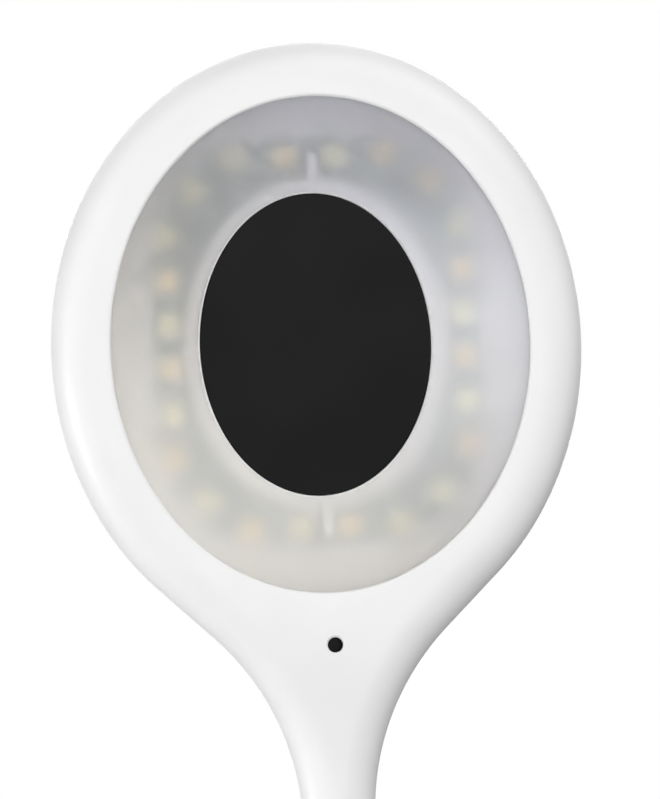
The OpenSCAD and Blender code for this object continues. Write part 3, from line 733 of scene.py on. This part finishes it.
def border(rows, case, depth, width, power):
    """Rounded border of a half case: each row's points (across, depth, up) from parting line to crown."""
    x, z, nx, nz, s = rows.T
    deep = depth + (case.neck_radius - depth) * s
    wide = width + (case.neck_radius - width) * s
    room = np.where(x > MERGE, x / np.maximum(-nx, 1e-9), 1)
    wide = np.minimum(wide, 0.999 * room)
    n = power + (OVAL - power) * s
    bevel = [(case.seam, PARTING), (0.3 * case.seam, 0.45 * case.seam), (0.0, 1.1 * case.seam)]
    columns = [(np.full_like(x, d), np.full_like(x, y)) for d, y in bevel]
    for f in np.radians([2.2, 4, *np.linspace(7, 90, 22)]):
        c, v = max(math.cos(f), 0), math.sin(f)
        columns.append((wide * (1 - c ** (2 / n)), deep * v ** (2 / n)))
    return np.stack([np.column_stack([x + nx * d, y, z + nz * d]) for d, y in columns], 1)


def skin(name, grids, way, centre_z, material):
    """Open skin out of grids of points (across, depth, up) and their mirror images, towards way in depth."""
    points, faces = np.zeros((0, 3)), []
    for right in grids:
        flat = right.reshape(-1, 3)
        for half in (flat, flat * [-1, 1, 1]):
            faces += [tuple(k + len(points) for k in f) for f in grid_faces(*right.shape[:2])]
            points = np.vstack([points, half])
    points = points * [1, way, 1] + [0, 0, centre_z]
    return face_along(tidy(piece(name, points, faces, material)), (0, way, 0))


def to_middle(edge, ends, steps=6):
    """Columns from the crown's edge to end points."""
    u = np.linspace(0, 1, steps + 1)[1:]
    return edge[:, None] + (ends - edge)[:, None] * u[None, :, None]


def window_angles(crown, touch, end, window, drop):
    """Angle round the window that each row of the crown's edge runs to, the last one straight down."""
    across, up = crown[: end + 1, 0], crown[: end + 1, 2] - drop
    around = np.arctan2(up / window.half_height, across / window.half_width)
    rows_before = 40
    first = touch - rows_before
    late = np.clip((np.arange(end + 1) - first) / (end - first), 0, 1)
    return around - (around[-1] + math.pi / 2) * late**2


def front_border(case):
    """Border of the front half, and the row at which it leaves the oval."""
    rows, touch = head_outline(case)
    return border(rows, case, case.front_depth, case.front_round, FRONT_POWER), touch


def crown_depth(crown, up):
    """Depth of the crown at a height above the oval's centre."""
    return np.interp(-up, -crown[:, 2], crown[:, 1])


def front_skin(case, window, centre_z, material):
    """Front half of the case with the window's rounded lip."""
    edge, touch = front_border(case)
    crown = edge[:, -1]
    drop = WINDOW_Z - centre_z
    chin, lens_gap = 5 * MM, 0.03 * MM
    end = int(np.argmax(crown[:, 2] < drop - window.half_height - window.lip - chin))
    around = window_angles(crown, touch, end, window, drop)
    c, s = np.cos(around), np.sin(around)
    c[0] = c[-1] = 0

    def lip(out, deep):
        across, up = (window.half_width + out) * c, drop + (window.half_height + out) * s
        return np.column_stack([across, np.full_like(c, deep), up])

    outer = lip(window.lip, case.front_depth)
    share = np.linspace(0, 1, len(edge) - end)[1:]
    foot = crown[end + 1 :] * [0, 1, 1]
    foot[:, 2] += (outer[-1, 2] - crown[end, 2]) * (1 - share) ** 2
    foot[:, 1] = crown_depth(crown, foot[:, 2])
    shell = np.concatenate([edge, to_middle(crown, np.vstack([outer, foot]))], 1)
    lips = []
    for f in quarter_turn(8):
        lips.append(lip(window.lip * (1 - math.sin(f)), case.front_depth - window.lip * (1 - math.cos(f))))
    lips.append(lip(0, lens_gap - PLATE[0].y))
    return skin("front_case", [shell, np.stack(lips, 1)], -1, centre_z, material)


def mic_drill(case, centre_z, material):
    """Drill for the microphone hole, which leaves a rounded edge in the front."""
    edge, _ = front_border(case)
    crown = -float(crown_depth(edge[:, -1], -case.mic_drop))
    steps = ((0, 3), (0, 0.22), (0.06, 0.10), (0.26, -0.06), (0.26, -1))
    profile = [(case.mic_hole + out * MM, crown + deep * MM) for out, deep in steps]
    return turned("drill", profile, material, (0, 0, centre_z - case.mic_drop))


def rear_skin(case, centre_z, material):
    """Rear half of the case."""
    rows, _ = head_outline(case)
    edge = border(rows, case, case.rear_depth, case.rear_round, REAR_POWER)
    crown = edge[:, -1]
    shell = np.concatenate([edge, to_middle(crown, crown * [0, 1, 1])], 1)
    return skin("rear_case", [shell], 1, centre_z, material)


def screw_places():
    """Places of the four case screws across and up, from their CAD solids."""
    solids = [v.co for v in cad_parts["case_screws"].data.vertices]
    low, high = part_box("case_screws")
    middle = (low + high) / 2
    places = []
    for right in (False, True):
        for upper in (False, True):
            near = [p for p in solids if (p.x > middle.x) == right and (p.z > middle.z) == upper]
            xs, zs = [p.x for p in near], [p.z for p in near]
            places.append(((min(xs) + max(xs)) / 2, (min(zs) + max(zs)) / 2))
    return places


def rear_height(case, centre_z, x, z):
    """Depth of the rear skin above a point of the oval."""
    rows, touch = head_outline(case)
    line = rows[: touch + 1, :2] + [0, centre_z]
    inset = np.min(np.hypot(line[:, 0] - abs(x), line[:, 1] - z))
    share = min(1, inset / case.rear_round)
    return case.rear_depth * (1 - (1 - share) ** REAR_POWER) ** (1 / REAR_POWER)


def screw_well(case, centre_z, x, z, material, steps=48):
    """Moulded tube that leads a case screw's head in, its rim following the rear skin."""
    foot, seat, sunk = 0.9 * MM, 1.7 * MM, 0.3 * MM
    hole, bore, outer = 1.1 * MM, 1.84 * MM, 2.5 * MM
    angles = even_angles(steps)
    c, s = np.cos(angles), np.sin(angles)

    def rim(r):
        return np.array([rear_height(case, centre_z, x + r * a, z + r * b) - sunk for a, b in zip(c, s)])

    loops = [
        (hole, foot), (outer, foot), (outer, rim(outer)), (bore, rim(bore)),
        (bore, seat), (hole, seat), (hole, foot),
    ]
    points = np.vstack([np.column_stack([x + r * c, np.full(steps, y), z + r * s]) for r, y in loops])
    return tidy(piece("well", points, grid_faces(len(loops), steps, True), material))


class VOICELIGHT_OT_case(bpy.types.Operator):
    """Builds the two halves of the head's case"""

    bl_idname = "voice_light.case"
    bl_label = "Case"

    def execute(self, context):
        settings = context.scene.voice_light
        case = settings.case
        white = case_white(settings.finish)
        centre_z = case.top - case.rise
        front = thicken(front_skin(case, settings.window, centre_z, white), case.wall)
        ride(cut(front, mic_drill(case, centre_z, white)), "head", "case_white", "front_bezel")

        rear = thicken(rear_skin(case, centre_z, white), case.wall)
        places = screw_places()
        bore, deep = 1.85 * MM, 9 * MM
        drills = [turned("drill", [(bore, -MM), (bore, deep)], white, (x, 0, z), 48) for x, z in places]
        wells = [screw_well(case, centre_z, x, z, white) for x, z in places]
        ride(join("rear_case", cut(rear, *drills), *wells), "head", "case_white", "rear_cover")
        return {"FINISHED"}


# Window and what is behind it


def oval_piece(name, half, steps, centre, material):
    """Closed oval piece. Each step is how far its ring is wider than the half sizes, and its place along."""
    rings = [(half[0] + out, half[1] + out, OVAL, along) for out, along in steps]
    return stack(name, rings, material, centre, WINDOW_STEPS)


def lens_collar(window, first, low, material):
    """Shoulder behind the lens that widens from the plate's rim to the board."""
    high = LED_BOARD[0].y
    rings = []
    for f in quarter_turn(13):
        out, deep = first + (window.collar_reach - first) * math.sin(f), 1 - math.cos(f)
        size = PLATE_HALF[0] + out, PLATE_HALF[1] + out
        rings.append((*size, OVAL, low + (high - low) * deep, -PLATE_MIDDLE[0] * deep, 0))
    return stack("collar", rings, material, PLATE_MIDDLE, WINDOW_STEPS)


def lens_ribs(window, top, edge, material):
    """The two ribs behind the lens, above and below the plate."""
    w, h, square, foot = window.rib_width / 2, window.rib_height / 2, 8, LED_BOARD[0].y
    rib = [(w, h, square, top), (w, h, square, foot - edge), (w - edge, h - edge, square, foot)]
    places = [(0, 0, WINDOW_Z + way * window.rib_place) for way in (-1, 1)]
    return [stack("rib", rib, material, place) for place in places]


def whole_lens(window, glass, white):
    """Frosted lens with the white rim around the plate and the collar and ribs on its back."""
    face, floor = PLATE[0].y, PLATE[1].y
    back = face + window.lens_thick
    edge, overlap, skirt = 0.12 * MM, 0.03 * MM, 0.02 * MM
    rim_in = window.plate_gap
    rim_out = rim_in + window.rim
    hole, outside = rim_out - overlap, rim_out + skirt
    disc = [(-edge, face), (0, face + edge), (0, back - edge), (-edge, back)]
    lens = oval_piece("lens", LENS_HALF, disc, (0, 0, WINDOW_Z), glass)
    cut(lens, oval_piece("opening", PLATE_HALF, [(hole, back + MM), (hole, face - MM)], PLATE_MIDDLE, glass))
    slope = [
        (rim_in, floor), (rim_in, face + window.rim), (rim_out, face),
        (outside, face + skirt), (outside, back),
    ]
    cup = oval_piece("cup", PLATE_HALF, slope, PLATE_MIDDLE, white)
    collar = lens_collar(window, rim_out + 0.3 * MM, back + skirt, white)
    return join("lens", lens, cup, collar, *lens_ribs(window, back + window.rib_gap, edge, white))


def reflector_wall(window, lights, material):
    """White wall from the lens's edge to the board around the LEDs."""
    gap, wall, room, foot_power = 0.1 * MM, 0.4 * MM, 2.2 * MM, 3.4
    front, back = PLATE[0].y - gap, PLATE[0].y + window.lens_thick + gap
    top = LENS_HALF[0] + gap, LENS_HALF[1] + gap, OVAL
    foot = lights.ring_width + room, lights.ring_height + room, foot_power
    inside = [(*top, front), (*top, back), (*foot, LED_BOARD[0].y, 0, lights.ring_up)]
    outside = [(w + wall, h + wall, *more) for w, h, *more in reversed(inside)]
    rings = [*inside, *outside, inside[0]]
    return stack("reflector", rings, material, (0, 0, WINDOW_Z), WINDOW_STEPS, capped=False)


def plate_cap(material):
    """Oval plate with a rounded front edge."""
    edge = ((0, 0.25), (0.03, 0.12), (0.12, 0.03), (0.25, 0))
    steps = [(0, PLATE[1].y), *((-inset * MM, PLATE[0].y + deep * MM) for inset, deep in edge)]
    return oval_piece("centre_plate_cap", PLATE_HALF, steps, PLATE_MIDDLE, material)


class VOICELIGHT_OT_window(bpy.types.Operator):
    """Builds the frosted lens with its collar and ribs, and the black plate"""

    bl_idname = "voice_light.window"
    bl_label = "Window"

    def execute(self, context):
        settings = context.scene.voice_light
        window, finish = settings.window, settings.finish
        glass = stored("milky_plastic", frosted, finish.lens, finish.lens_far_painted_light)
        white = inner_white(finish)
        black = stored(
            "satin_black", moulded, finish.plate,
            rough=0.6, grain=3200, depth=0.005 * MM, drift=0.15, specular_ior_level=0.03,
        )
        ride(whole_lens(window, glass, white), "head", "lens_frosted", "diffuser_lens")
        ride(reflector_wall(window, settings.lights, white), "head", "case_white")
        ride(plate_cap(black), "head", "plate_black", "centre_plate")
        return {"FINISHED"}


def led_places(lights):
    """Place across, place up, turn and tone of each LED: two columns, two rows and four corners."""
    in_column, in_row, inset = 6, 4, 0.4
    top, end = (in_column - 1) / 2 * lights.column_pitch, (in_row - 1) / 2 * lights.row_pitch
    wide, high = lights.ring_width, lights.ring_height
    places = []
    for way in (-1, 1):
        for i in range(in_column):
            places.append((way * wide, top - i * lights.column_pitch, 90, "warm" if i % 2 else "cool"))
        for i in range(in_row):
            warm = i % 2 == (1 if way > 0 else 0)
            places.append((i * lights.row_pitch - end, way * high, 0, "warm" if warm else "cool"))
        for up in (-1, 1):
            x, z = way * (wide + inset * (end - wide)), up * (high + inset * (top - high))
            places.append((x, z, -45 if way * up > 0 else 45, "warm" if up > 0 and way > 0 else "cool"))
    return places


class VOICELIGHT_OT_lights(bpy.types.Operator):
    """Builds the LEDs on their board"""

    bl_idname = "voice_light.lights"
    bl_label = "Lights"

    def execute(self, context):
        settings = context.scene.voice_light
        lights, finish = settings.lights, settings.finish
        dress("led_board", stored("pale_mask", solder_mask, finish.board, (0.32, 0.365, 0.355)))
        long, wide, tall = lights.long / 2, lights.wide / 2, lights.tall
        edge, cup, deep, square = 0.08 * MM, 0.92 * wide, 0.35 * MM, 10
        frame_white = stored("led_frame", moulded, (0.80, 0.75, 0.65), 0.42, 4200)
        body = stack("led", [
            (long, wide, square, 0),
            (long, wide, square, edge - tall),
            (long - edge, wide - edge, square, -tall),
            (cup, cup, OVAL, -tall),
            (0.9 * cup, 0.9 * cup, OVAL, deep - tall),
        ], frame_white, steps=48)
        spots = led_places(lights)
        points = [(x, LED_BOARD[0].y, WINDOW_Z + lights.ring_up + z) for x, z, _, _ in spots]
        turns = [-math.radians(t) for _, _, t, _ in spots]
        ride(repeat("led_frames", body, points, turns, frame_white), "head", "board_white")
        drop = ((0.93, 0.34 * MM), (0.97, 0.05 * MM), (0.5, 0.02 * MM))
        for tone in ("warm", "cool"):
            material = stored("phosphor_" + tone, phosphor, getattr(finish, tone))
            dome = turned("dome", [(share * cup, low - tall) for share, low in drop], material, steps=32)
            chosen = [p for p, spot in zip(points, spots) if spot[3] == tone]
            drops = repeat(tone + "_phosphor", dome, chosen, [0] * len(chosen), material)
            ride(drops, "head", "led_" + tone, tone + "_leds")
        return {"FINISHED"}


class VOICELIGHT_OT_electronics(bpy.types.Operator):
    """Finishes the control board, its components and the microphone"""

    bl_idname = "voice_light.electronics"
    bl_label = "Electronics"

    def execute(self, context):
        finish = context.scene.voice_light.finish
        dress("control_board", stored("green_mask", solder_mask, finish.mask, (0.03, 0.24, 0.13)))
        epoxy = stored("chip_epoxy", moulded, (0.018, 0.018, 0.019), 0.55, 3600, 0.008 * MM, 0.2)
        dress("voice_chip", epoxy)
        dress("driver_transistors", epoxy)
        dress("capacitors", stored("tan_ceramic", moulded, (0.36, 0.22, 0.11), 0.5, 3000, 0.006 * MM, 0.12))
        dress("board_pins", stored("dull_tin", metal, (0.46, 0.48, 0.47), 0.7))
        dress("mic_capsule", steel())
        dress("mic_boot", stored("black_rubber", moulded, (0.025, 0.025, 0.027), 0.7, 2400, 0.01 * MM, 0.2))
        dress("mic_felt", stored("black_felt", felt, (0.006, 0.006, 0.006)))
        dress("mic_leads", red_wire())
        return {"FINISHED"}


def pan_screw(name, head_r, head_h, shank_r, long, material):
    """Cross-recessed screw along the depth: its seat at 0, its head towards +Y, its tip towards -Y."""
    pitch, ridge, tip, rise = 0.6 * MM, 0.12 * MM, 0.5 * MM, 0.35
    core = shank_r - ridge
    profile = [(0, -long), (0.45 * shank_r, -long)]
    plain = 0.8 * MM
    for i in range(int((long - plain) / pitch)):
        y = -long + tip + i * pitch
        profile += [(core, y), (shank_r, y + 0.3 * pitch), (core, y + 0.6 * pitch)]
    profile += [(core, 0), (head_r, 0), (head_r, rise * head_h)]
    for f in quarter_turn(7)[1:-1]:
        profile.append((head_r * math.cos(f), head_h * (rise + (1 - rise) * math.sin(f))))
    screw = turned(name, [*profile, (0, head_h)], material, steps=48, capped=False)
    slots = []
    long_way, short_way, square = 1.1 * MM, 0.2 * MM, 8
    low, high = 0.45 * head_h, head_h + 0.2 * MM
    for w, h in ((long_way, short_way), (short_way, long_way)):
        recess = [(0.6 * w, 0.6 * h, square, low), (w, h, square, high)]
        slots.append(stack("slot", recess, material, steps=32))
    return cut(screw, *slots)


class VOICELIGHT_OT_screws(bpy.types.Operator):
    """Builds the case screws and finishes the control board's screws"""

    bl_idname = "voice_light.screws"
    bl_label = "Screws"

    def execute(self, context):
        material = steel()
        low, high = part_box("case_screws")
        places = screw_places()
        head_r, head_h, shank_r = 1.75 * MM, 1.2 * MM, 1.0 * MM
        first_turn, next_turn = 20, 35
        seat = high.y - head_h
        shape = pan_screw("screw", head_r, head_h, shank_r, seat - low.y, material)
        turns = [math.radians(first_turn + next_turn * i) for i in range(len(places))]
        screws = repeat("case_screw_set", shape, [(x, seat, z) for x, z in places], turns, material)
        ride(screws, "head", "steel", "case_screws")
        dress("board_screws", material)
        return {"FINISHED"}


# Neck


class VOICELIGHT_OT_gooseneck(bpy.types.Operator):
    """Builds the silicone sleeve in six lengths, and finishes the steel hose"""

    bl_idname = "voice_light.gooseneck"
    bl_label = "Gooseneck"

    def execute(self, context):
        settings = context.scene.voice_light
        neck = settings.neck
        silicone = stored("white_silicone", moulded, settings.finish.sleeve, 0.52, 1700, 0.006 * MM, 0.025)
        rows, sides = 34, 48
        for k in range(BENDS):
            low = SLEEVE[0].z if k == 0 else NECK_STOPS[k]
            high = SLEEVE[1].z if k == BENDS - 1 else NECK_STOPS[k + 1]
            levels = np.linspace(low, high, rows)
            outer = [(neck.sleeve_radius, z) for z in levels]
            inner = [(neck.bore_radius, z) for z in levels[::-1]]
            wall = outer + inner + outer[:1]
            sleeve = turned(f"sleeve_{k + 1}", wall, silicone, steps=sides, capped=False, axis="Z")
            bend(sleeve, k, "sleeve_silicone", *(["silicone_sleeve"] if k == 0 else []))
        coil = stored("hose_steel", metal, (0.50, 0.51, 0.52), 0.34, (0.2, 0.2, 4), 500)
        for node in ("hose_lower_stub", "hose_upper_stub", *(f"hose_link_{k}" for k in range(1, BENDS))):
            dress(node, coil)
        dress("upper_ferrule", steel())
        dress("lower_ferrule", steel())
        return {"FINISHED"}


def two_cores(name, path, radius):
    """The lead's black and red cores along a path and its mirror image."""
    black = stored("black_wire", moulded, (0.02, 0.02, 0.021), 0.4, 1500, 0.004 * MM, 0.15)
    cores = []
    for way, material in ((-1, black), (1, red_wire())):
        points, faces = tube(path * [way, 1, 1], radius)
        cores.append(tidy(piece("core", points, faces, material), CORE_SHARP))
    return join(name, *cores)


class VOICELIGHT_OT_lead(bpy.types.Operator):
    """Builds the two cores of the power lead, in lengths along the gooseneck"""

    bl_idname = "voice_light.lead"
    bl_label = "Lead"

    def execute(self, context):
        neck = context.scene.voice_light.neck
        low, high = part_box("power_lead")
        out, radius = neck.core_out, neck.core_radius
        foot, tail, joint_y, pad_y = 16.7 * MM, 186 * MM, -0.775 * MM, high.y - radius
        in_plug = [
            (3.5 * MM, joint_y, low.z), (3.5 * MM, joint_y, 8.5 * MM),
            (2.3 * MM, 0.6 * joint_y, 12.2 * MM), (0.97 * MM, 0.15 * joint_y, 15.1 * MM),
            (out, 0, foot), (out, 0, 24 * MM), (out, 0, NECK_STOPS[0]),
        ]
        in_head = [
            (out, 0, NECK_STOPS[-1]), (out, 0, 178 * MM), (out, 0, tail),
            (1.25 * MM, 0.45 * pad_y, tail + 7.8 * MM),
            (2.4 * MM, pad_y, high.z - 3 * MM), (2.6 * MM, pad_y, high.z),
        ]
        ride(two_cores("lead_plug", rounded_path(in_plug), radius), "plug", "wire_red", "power_lead")
        ride(two_cores("lead_head", rounded_path(in_head), radius), "head", "wire_red")
        rows = 25
        for k in range(BENDS):
            path = np.linspace((out, 0, NECK_STOPS[k]), (out, 0, NECK_STOPS[k + 1]), rows)
            bend(two_cores(f"lead_{k + 1}", path, radius), k, "wire_red")
        return {"FINISHED"}


# Plug


def half_turn(seam):
    """Angles half round, with extra ones close to the parting line."""
    near, first, count = np.array([0.0, 0.4, 1.0, 1.8]) * seam, 0.08, 113
    return np.concatenate([near, np.linspace(first, math.pi - first, count), math.pi - near[::-1]])


def plug_rings(plug):
    """Rings of the housing: half width, half thickness, squareness, height."""
    fit, bevel, crest, chamfer, skirt = 0.06 * MM, 0.15 * MM, 0.4 * MM, 0.1 * MM, 0.8 * MM
    slot, mouth, square = 14, 12, 5
    wide, thick, tall, edge, top = plug.half_width, plug.half_thick, plug.tall, plug.edge, plug.top_radius
    shell_w, shell_t, inner = SHELL[1].x + fit, SHELL[1].y + fit, SLEEVE[1].x + fit
    rings = [
        (shell_w, shell_t, slot, skirt),
        (shell_w, shell_t, slot, bevel),
        (shell_w + bevel, shell_t + bevel, mouth, 0),
    ]
    for f in quarter_turn(9):
        inset = edge * (1 - math.sin(f))
        rings.append((wide - inset, thick - inset, square, edge * (1 - math.cos(f))))
    middle = tall / 2
    for z in (*np.linspace(edge, middle, 8)[1:], *np.linspace(middle, tall - crest, 26)[1:]):
        s = eased(min(1, max(0, (z - middle) / (0.45 * tall))))
        rings.append((wide + (top - wide) * s, thick + (top - thick) * s, square + (OVAL - square) * s, z))
    for f in quarter_turn(6)[1:]:
        r = top - crest * (1 - math.cos(f))
        rings.append((r, r, OVAL, tall - crest * (1 - math.sin(f))))
    throat = [(chamfer, tall), (0, tall - chamfer), (0, tall - MM)]
    return rings + [(inner + out, inner + out, OVAL, z) for out, z in throat]


def housing_half(name, plug, way, material):
    """Skin of one half of the housing with a bevel along the parting line."""
    seam, wall = 0.16 * MM, 0.7 * MM
    angles = half_turn(seam / plug.half_width)
    rows = []
    for half_w, half_t, power, z in plug_rings(plug):
        p = ring(half_w, half_t, power, angles)
        p[0, 1] = p[-1, 1] = 0
        bevel = seam * np.clip(1 - np.abs(p[:, 1]) / seam, 0, 1) ** 2
        p[:, 0] -= np.sign(p[:, 0]) * bevel
        p[:, 1] = np.maximum(p[:, 1], PARTING)
        rows.append(np.column_stack([p[:, 0], way * p[:, 1], np.full(len(p), z)]))
    obj = piece(name, np.vstack(rows), grid_faces(len(rows), len(angles)), material)
    return thicken(face_along(tidy(obj), (0, way, 0)), wall)


def shell_ring(half_w, half_t, corner, per_corner=10):
    """Points of a rectangle with round corners."""
    points = []
    for quarter, (sx, sy) in enumerate(((1, 1), (-1, 1), (-1, -1), (1, -1))):
        x, y = sx * (half_w - corner), sy * (half_t - corner)
        for f in np.radians(90 * quarter + np.linspace(0, 90, per_corner)):
            points.append((x + corner * math.cos(f), y + corner * math.sin(f)))
    return np.array(points)


def usb_shell(plug, material):
    """Folded sheet-metal shell with its four latch windows and its folded seam."""
    half_w, half_t = SHELL[1].x, SHELL[1].y
    mouth, top, sheet, corner = SHELL[0].z, SHELL[1].z, plug.sheet, plug.corner
    edge = 0.08 * MM
    part = 0.3 * edge
    rings = [
        (0, top), (0, mouth + edge), (part, mouth + part), (edge, mouth), (sheet - edge, mouth),
        (sheet - part, mouth + part), (sheet, mouth + edge), (sheet, top), (0, top),
    ]
    rows = []
    for inset, z in rings:
        p = shell_ring(half_w - inset, half_t - inset, corner - 0.9 * inset)
        rows.append(np.column_stack([p, np.full(len(p), z)]))
    shell = tidy(piece("shell", np.vstack(rows), grid_faces(len(rows), len(rows[0]), True), material))
    square = 10
    latch, latch_x, latch_up = (1.1 * MM, 1.0 * MM, square), 2.5 * MM, 6 * MM
    fold = 0.04 * MM, 0.1 * MM, square
    through = [(*latch, -2 * half_t), (*latch, 2 * half_t)]
    tools = [stack("latch", through, material, (x, 0, mouth + latch_up)) for x in (-latch_x, latch_x)]
    line = [(*fold, mouth - MM), (*fold, top + MM)]
    return cut(shell, *tools, stack("fold", line, material, (0, half_t, 0), 32, axis="Z"))


class VOICELIGHT_OT_plug(bpy.types.Operator):
    """Builds the plug's housing and its metal shell, and finishes what is inside"""

    bl_idname = "voice_light.plug"
    bl_label = "Plug"

    def execute(self, context):
        settings = context.scene.voice_light
        plug = settings.plug
        white = case_white(settings.finish)
        ride(housing_half("plug_front_half", plug, -1, white), "plug", "case_white", "plug_front")
        ride(housing_half("plug_rear_half", plug, 1, white), "plug", "case_white", "plug_rear")
        nickel = stored("nickel_plate", metal, (0.60, 0.59, 0.56), 0.22, (1, 1, 0.12), 1100)
        ride(usb_shell(plug, nickel), "plug", "shell_nickel", "usb_shell")
        dress("usb_insulator", stored("white_nylon", moulded, (0.76, 0.76, 0.73), 0.4, 2200))
        dress("usb_contacts", gold())
        return {"FINISHED"}


# Stage


def looked_at(tree, low, high):
    """A value that is high where the camera looks, also by a gloss or through the lens, and else low."""
    path = tree.nodes.new("ShaderNodeLightPath").outputs
    seen = work_out(tree, "MAXIMUM", path["Is Camera Ray"], path["Is Glossy Ray"])
    seen = work_out(tree, "MAXIMUM", seen, path["Is Transmission Ray"])
    seen = work_out(tree, "MULTIPLY", seen, work_out(tree, "LESS_THAN", path["Diffuse Depth"], 0.5))
    return add_node(tree, "MapRange", "Result", {"Value": seen, "To Min": low, "To Max": high})


def backdrop_world(ambient):
    """Even light from all round, white where it is looked at."""
    world = bpy.data.worlds.new("studio")
    world.use_nodes = True
    tree = world.node_tree
    feed(tree, tree.nodes["Background"], {"Color": (1, 1, 1, 1), "Strength": looked_at(tree, ambient, 1)})
    return world


def floor_finish(name, bounce, pale, glow):
    """Pale paper that throws less light on the object than it shows, and stays pale far from the lamps."""
    f = Finish(name)
    grain = f.noise(300)
    return f.set(
        base_color=f.blend(looked_at(f.tree, 0, 1), (bounce,) * 3, (pale,) * 3),
        roughness=f.spread(grain, 0.7, 0.85),
        normal=f.bump(grain, 0.01 * MM, 0.3),
        emission_color=(1, 1, 1, 1),
        emission_strength=looked_at(f.tree, 0, glow),
    )


def facing(way, roll):
    """Turn of a lamp or camera that looks back along a way, rolled about it."""
    return (-way).to_track_quat("-Z", "Y").to_matrix() @ Matrix.Rotation(roll, 3, "Z")


def lamp(name, target, way, strength, wide, tall, roll=0, away=0.7):
    """Soft lamp that looks at a point from a direction. At strength 1 it shows a facing colour as it is."""
    data = bpy.data.lights.new(name, "AREA")
    data.shape, data.size, data.size_y = "RECTANGLE", wide, tall
    data.energy = strength * math.pi**2 * away**2
    obj = bpy.data.objects.new(name, data)
    way = Vector(way).normalized()
    obj.location = target + way * away
    obj.rotation_euler = facing(way, math.radians(roll)).to_euler()
    obj.visible_camera = False
    bpy.context.scene.collection.objects.link(obj)


class VOICELIGHT_OT_stage(bpy.types.Operator):
    """Builds the floor, the light and the camera"""

    bl_idname = "voice_light.stage"
    bl_label = "Stage"

    def execute(self, context):
        scene, settings = context.scene, context.scene.voice_light
        stage, case = settings.stage, settings.case
        scene.view_settings.view_transform = "Standard"
        scene.world = backdrop_world(stage.ambient)
        reach = 1.1
        corners = [(x * reach, y * reach, CAD_BOX[0].z) for x, y in ((-1, -1), (1, -1), (1, 1), (-1, 1))]
        paper = stored("floor_paper", floor_finish, bounce=0.25, pale=0.45, glow=0.25)
        piece("floor", corners, [(0, 1, 2, 3)], paper)

        head = Vector((0, 0, case.top - case.rise))
        lamp("right", head, (0.5, -0.5, 0.7), stage.right, 0.50, 0.50)
        lamp("top", head, (0.15, -0.5, 0.85), stage.top, 0.60, 0.60)
        lamp("left", head, (-0.98, -0.04, -0.21), stage.left, 0.18, 0.18)
        lamp("front", head, (0.041, -0.99, -0.045), stage.front, 0.26, 0.072, 26)
        lamp("rear", head, (-0.08, 0.75, 0.65), stage.rear, 0.60, 0.60)
        lamp("low", head, (-0.6, -0.6, -0.5), stage.low, 0.15, 0.15, away=0.3)
        lamp("back", head, (0.15, 0.97, 0.15), stage.back, 0.40, 0.40)

        data = bpy.data.cameras.new("camera")
        data.sensor_width = 36
        data.lens = data.sensor_width * stage.away / (PICTURE_TALL * stage.pixel)
        data.clip_start, data.clip_end = 0.01, 20
        camera = bpy.data.objects.new("camera", data)
        back = Vector((-math.sin(stage.turn), -math.cos(stage.turn), 0))
        turn = facing(back, -stage.lean)
        aim = head + AIM_RIGHT * stage.pixel * turn.col[0] + AIM_UP * stage.pixel * turn.col[1]
        camera.matrix_world = Matrix.Translation(aim + back * stage.away) @ turn.to_4x4()
        scene.collection.objects.link(camera)
        scene.camera = camera
        return {"FINISHED"}


class VOICELIGHT_PT_panel(bpy.types.Panel):
    """Lists the steps that build the light"""

    bl_label = "Voice Light"
    bl_idname = "VOICELIGHT_PT_panel"
    bl_space_type = "VIEW_3D"
    bl_region_type = "UI"
    bl_category = "Voice Light"

    def draw(self, context):
        for step in STEPS:
            self.layout.operator(step.bl_idname)


STEPS = (
    VOICELIGHT_OT_case,
    VOICELIGHT_OT_window,
    VOICELIGHT_OT_lights,
    VOICELIGHT_OT_electronics,
    VOICELIGHT_OT_screws,
    VOICELIGHT_OT_gooseneck,
    VOICELIGHT_OT_lead,
    VOICELIGHT_OT_plug,
    VOICELIGHT_OT_stage,
)
GROUPS = (CaseSizes, WindowSizes, LightSizes, NeckSizes, PlugSizes, Finishes, StageSettings, VoiceLight)


def register():
    for kind in (*GROUPS, *STEPS, VOICELIGHT_PT_panel):
        bpy.utils.register_class(kind)
    bpy.types.Scene.voice_light = PointerProperty(type=VoiceLight)


def unregister():
    del bpy.types.Scene.voice_light
    for kind in reversed((*GROUPS, *STEPS, VOICELIGHT_PT_panel)):
        bpy.utils.unregister_class(kind)


def main():
    register()
    make = bpy.ops.voice_light
    make.case()
    make.window()
    make.lights()
    make.electronics()
    make.screws()
    make.gooseneck()
    make.lead()
    make.plug()
    make.stage()


if __name__ == "__main__":
    main()
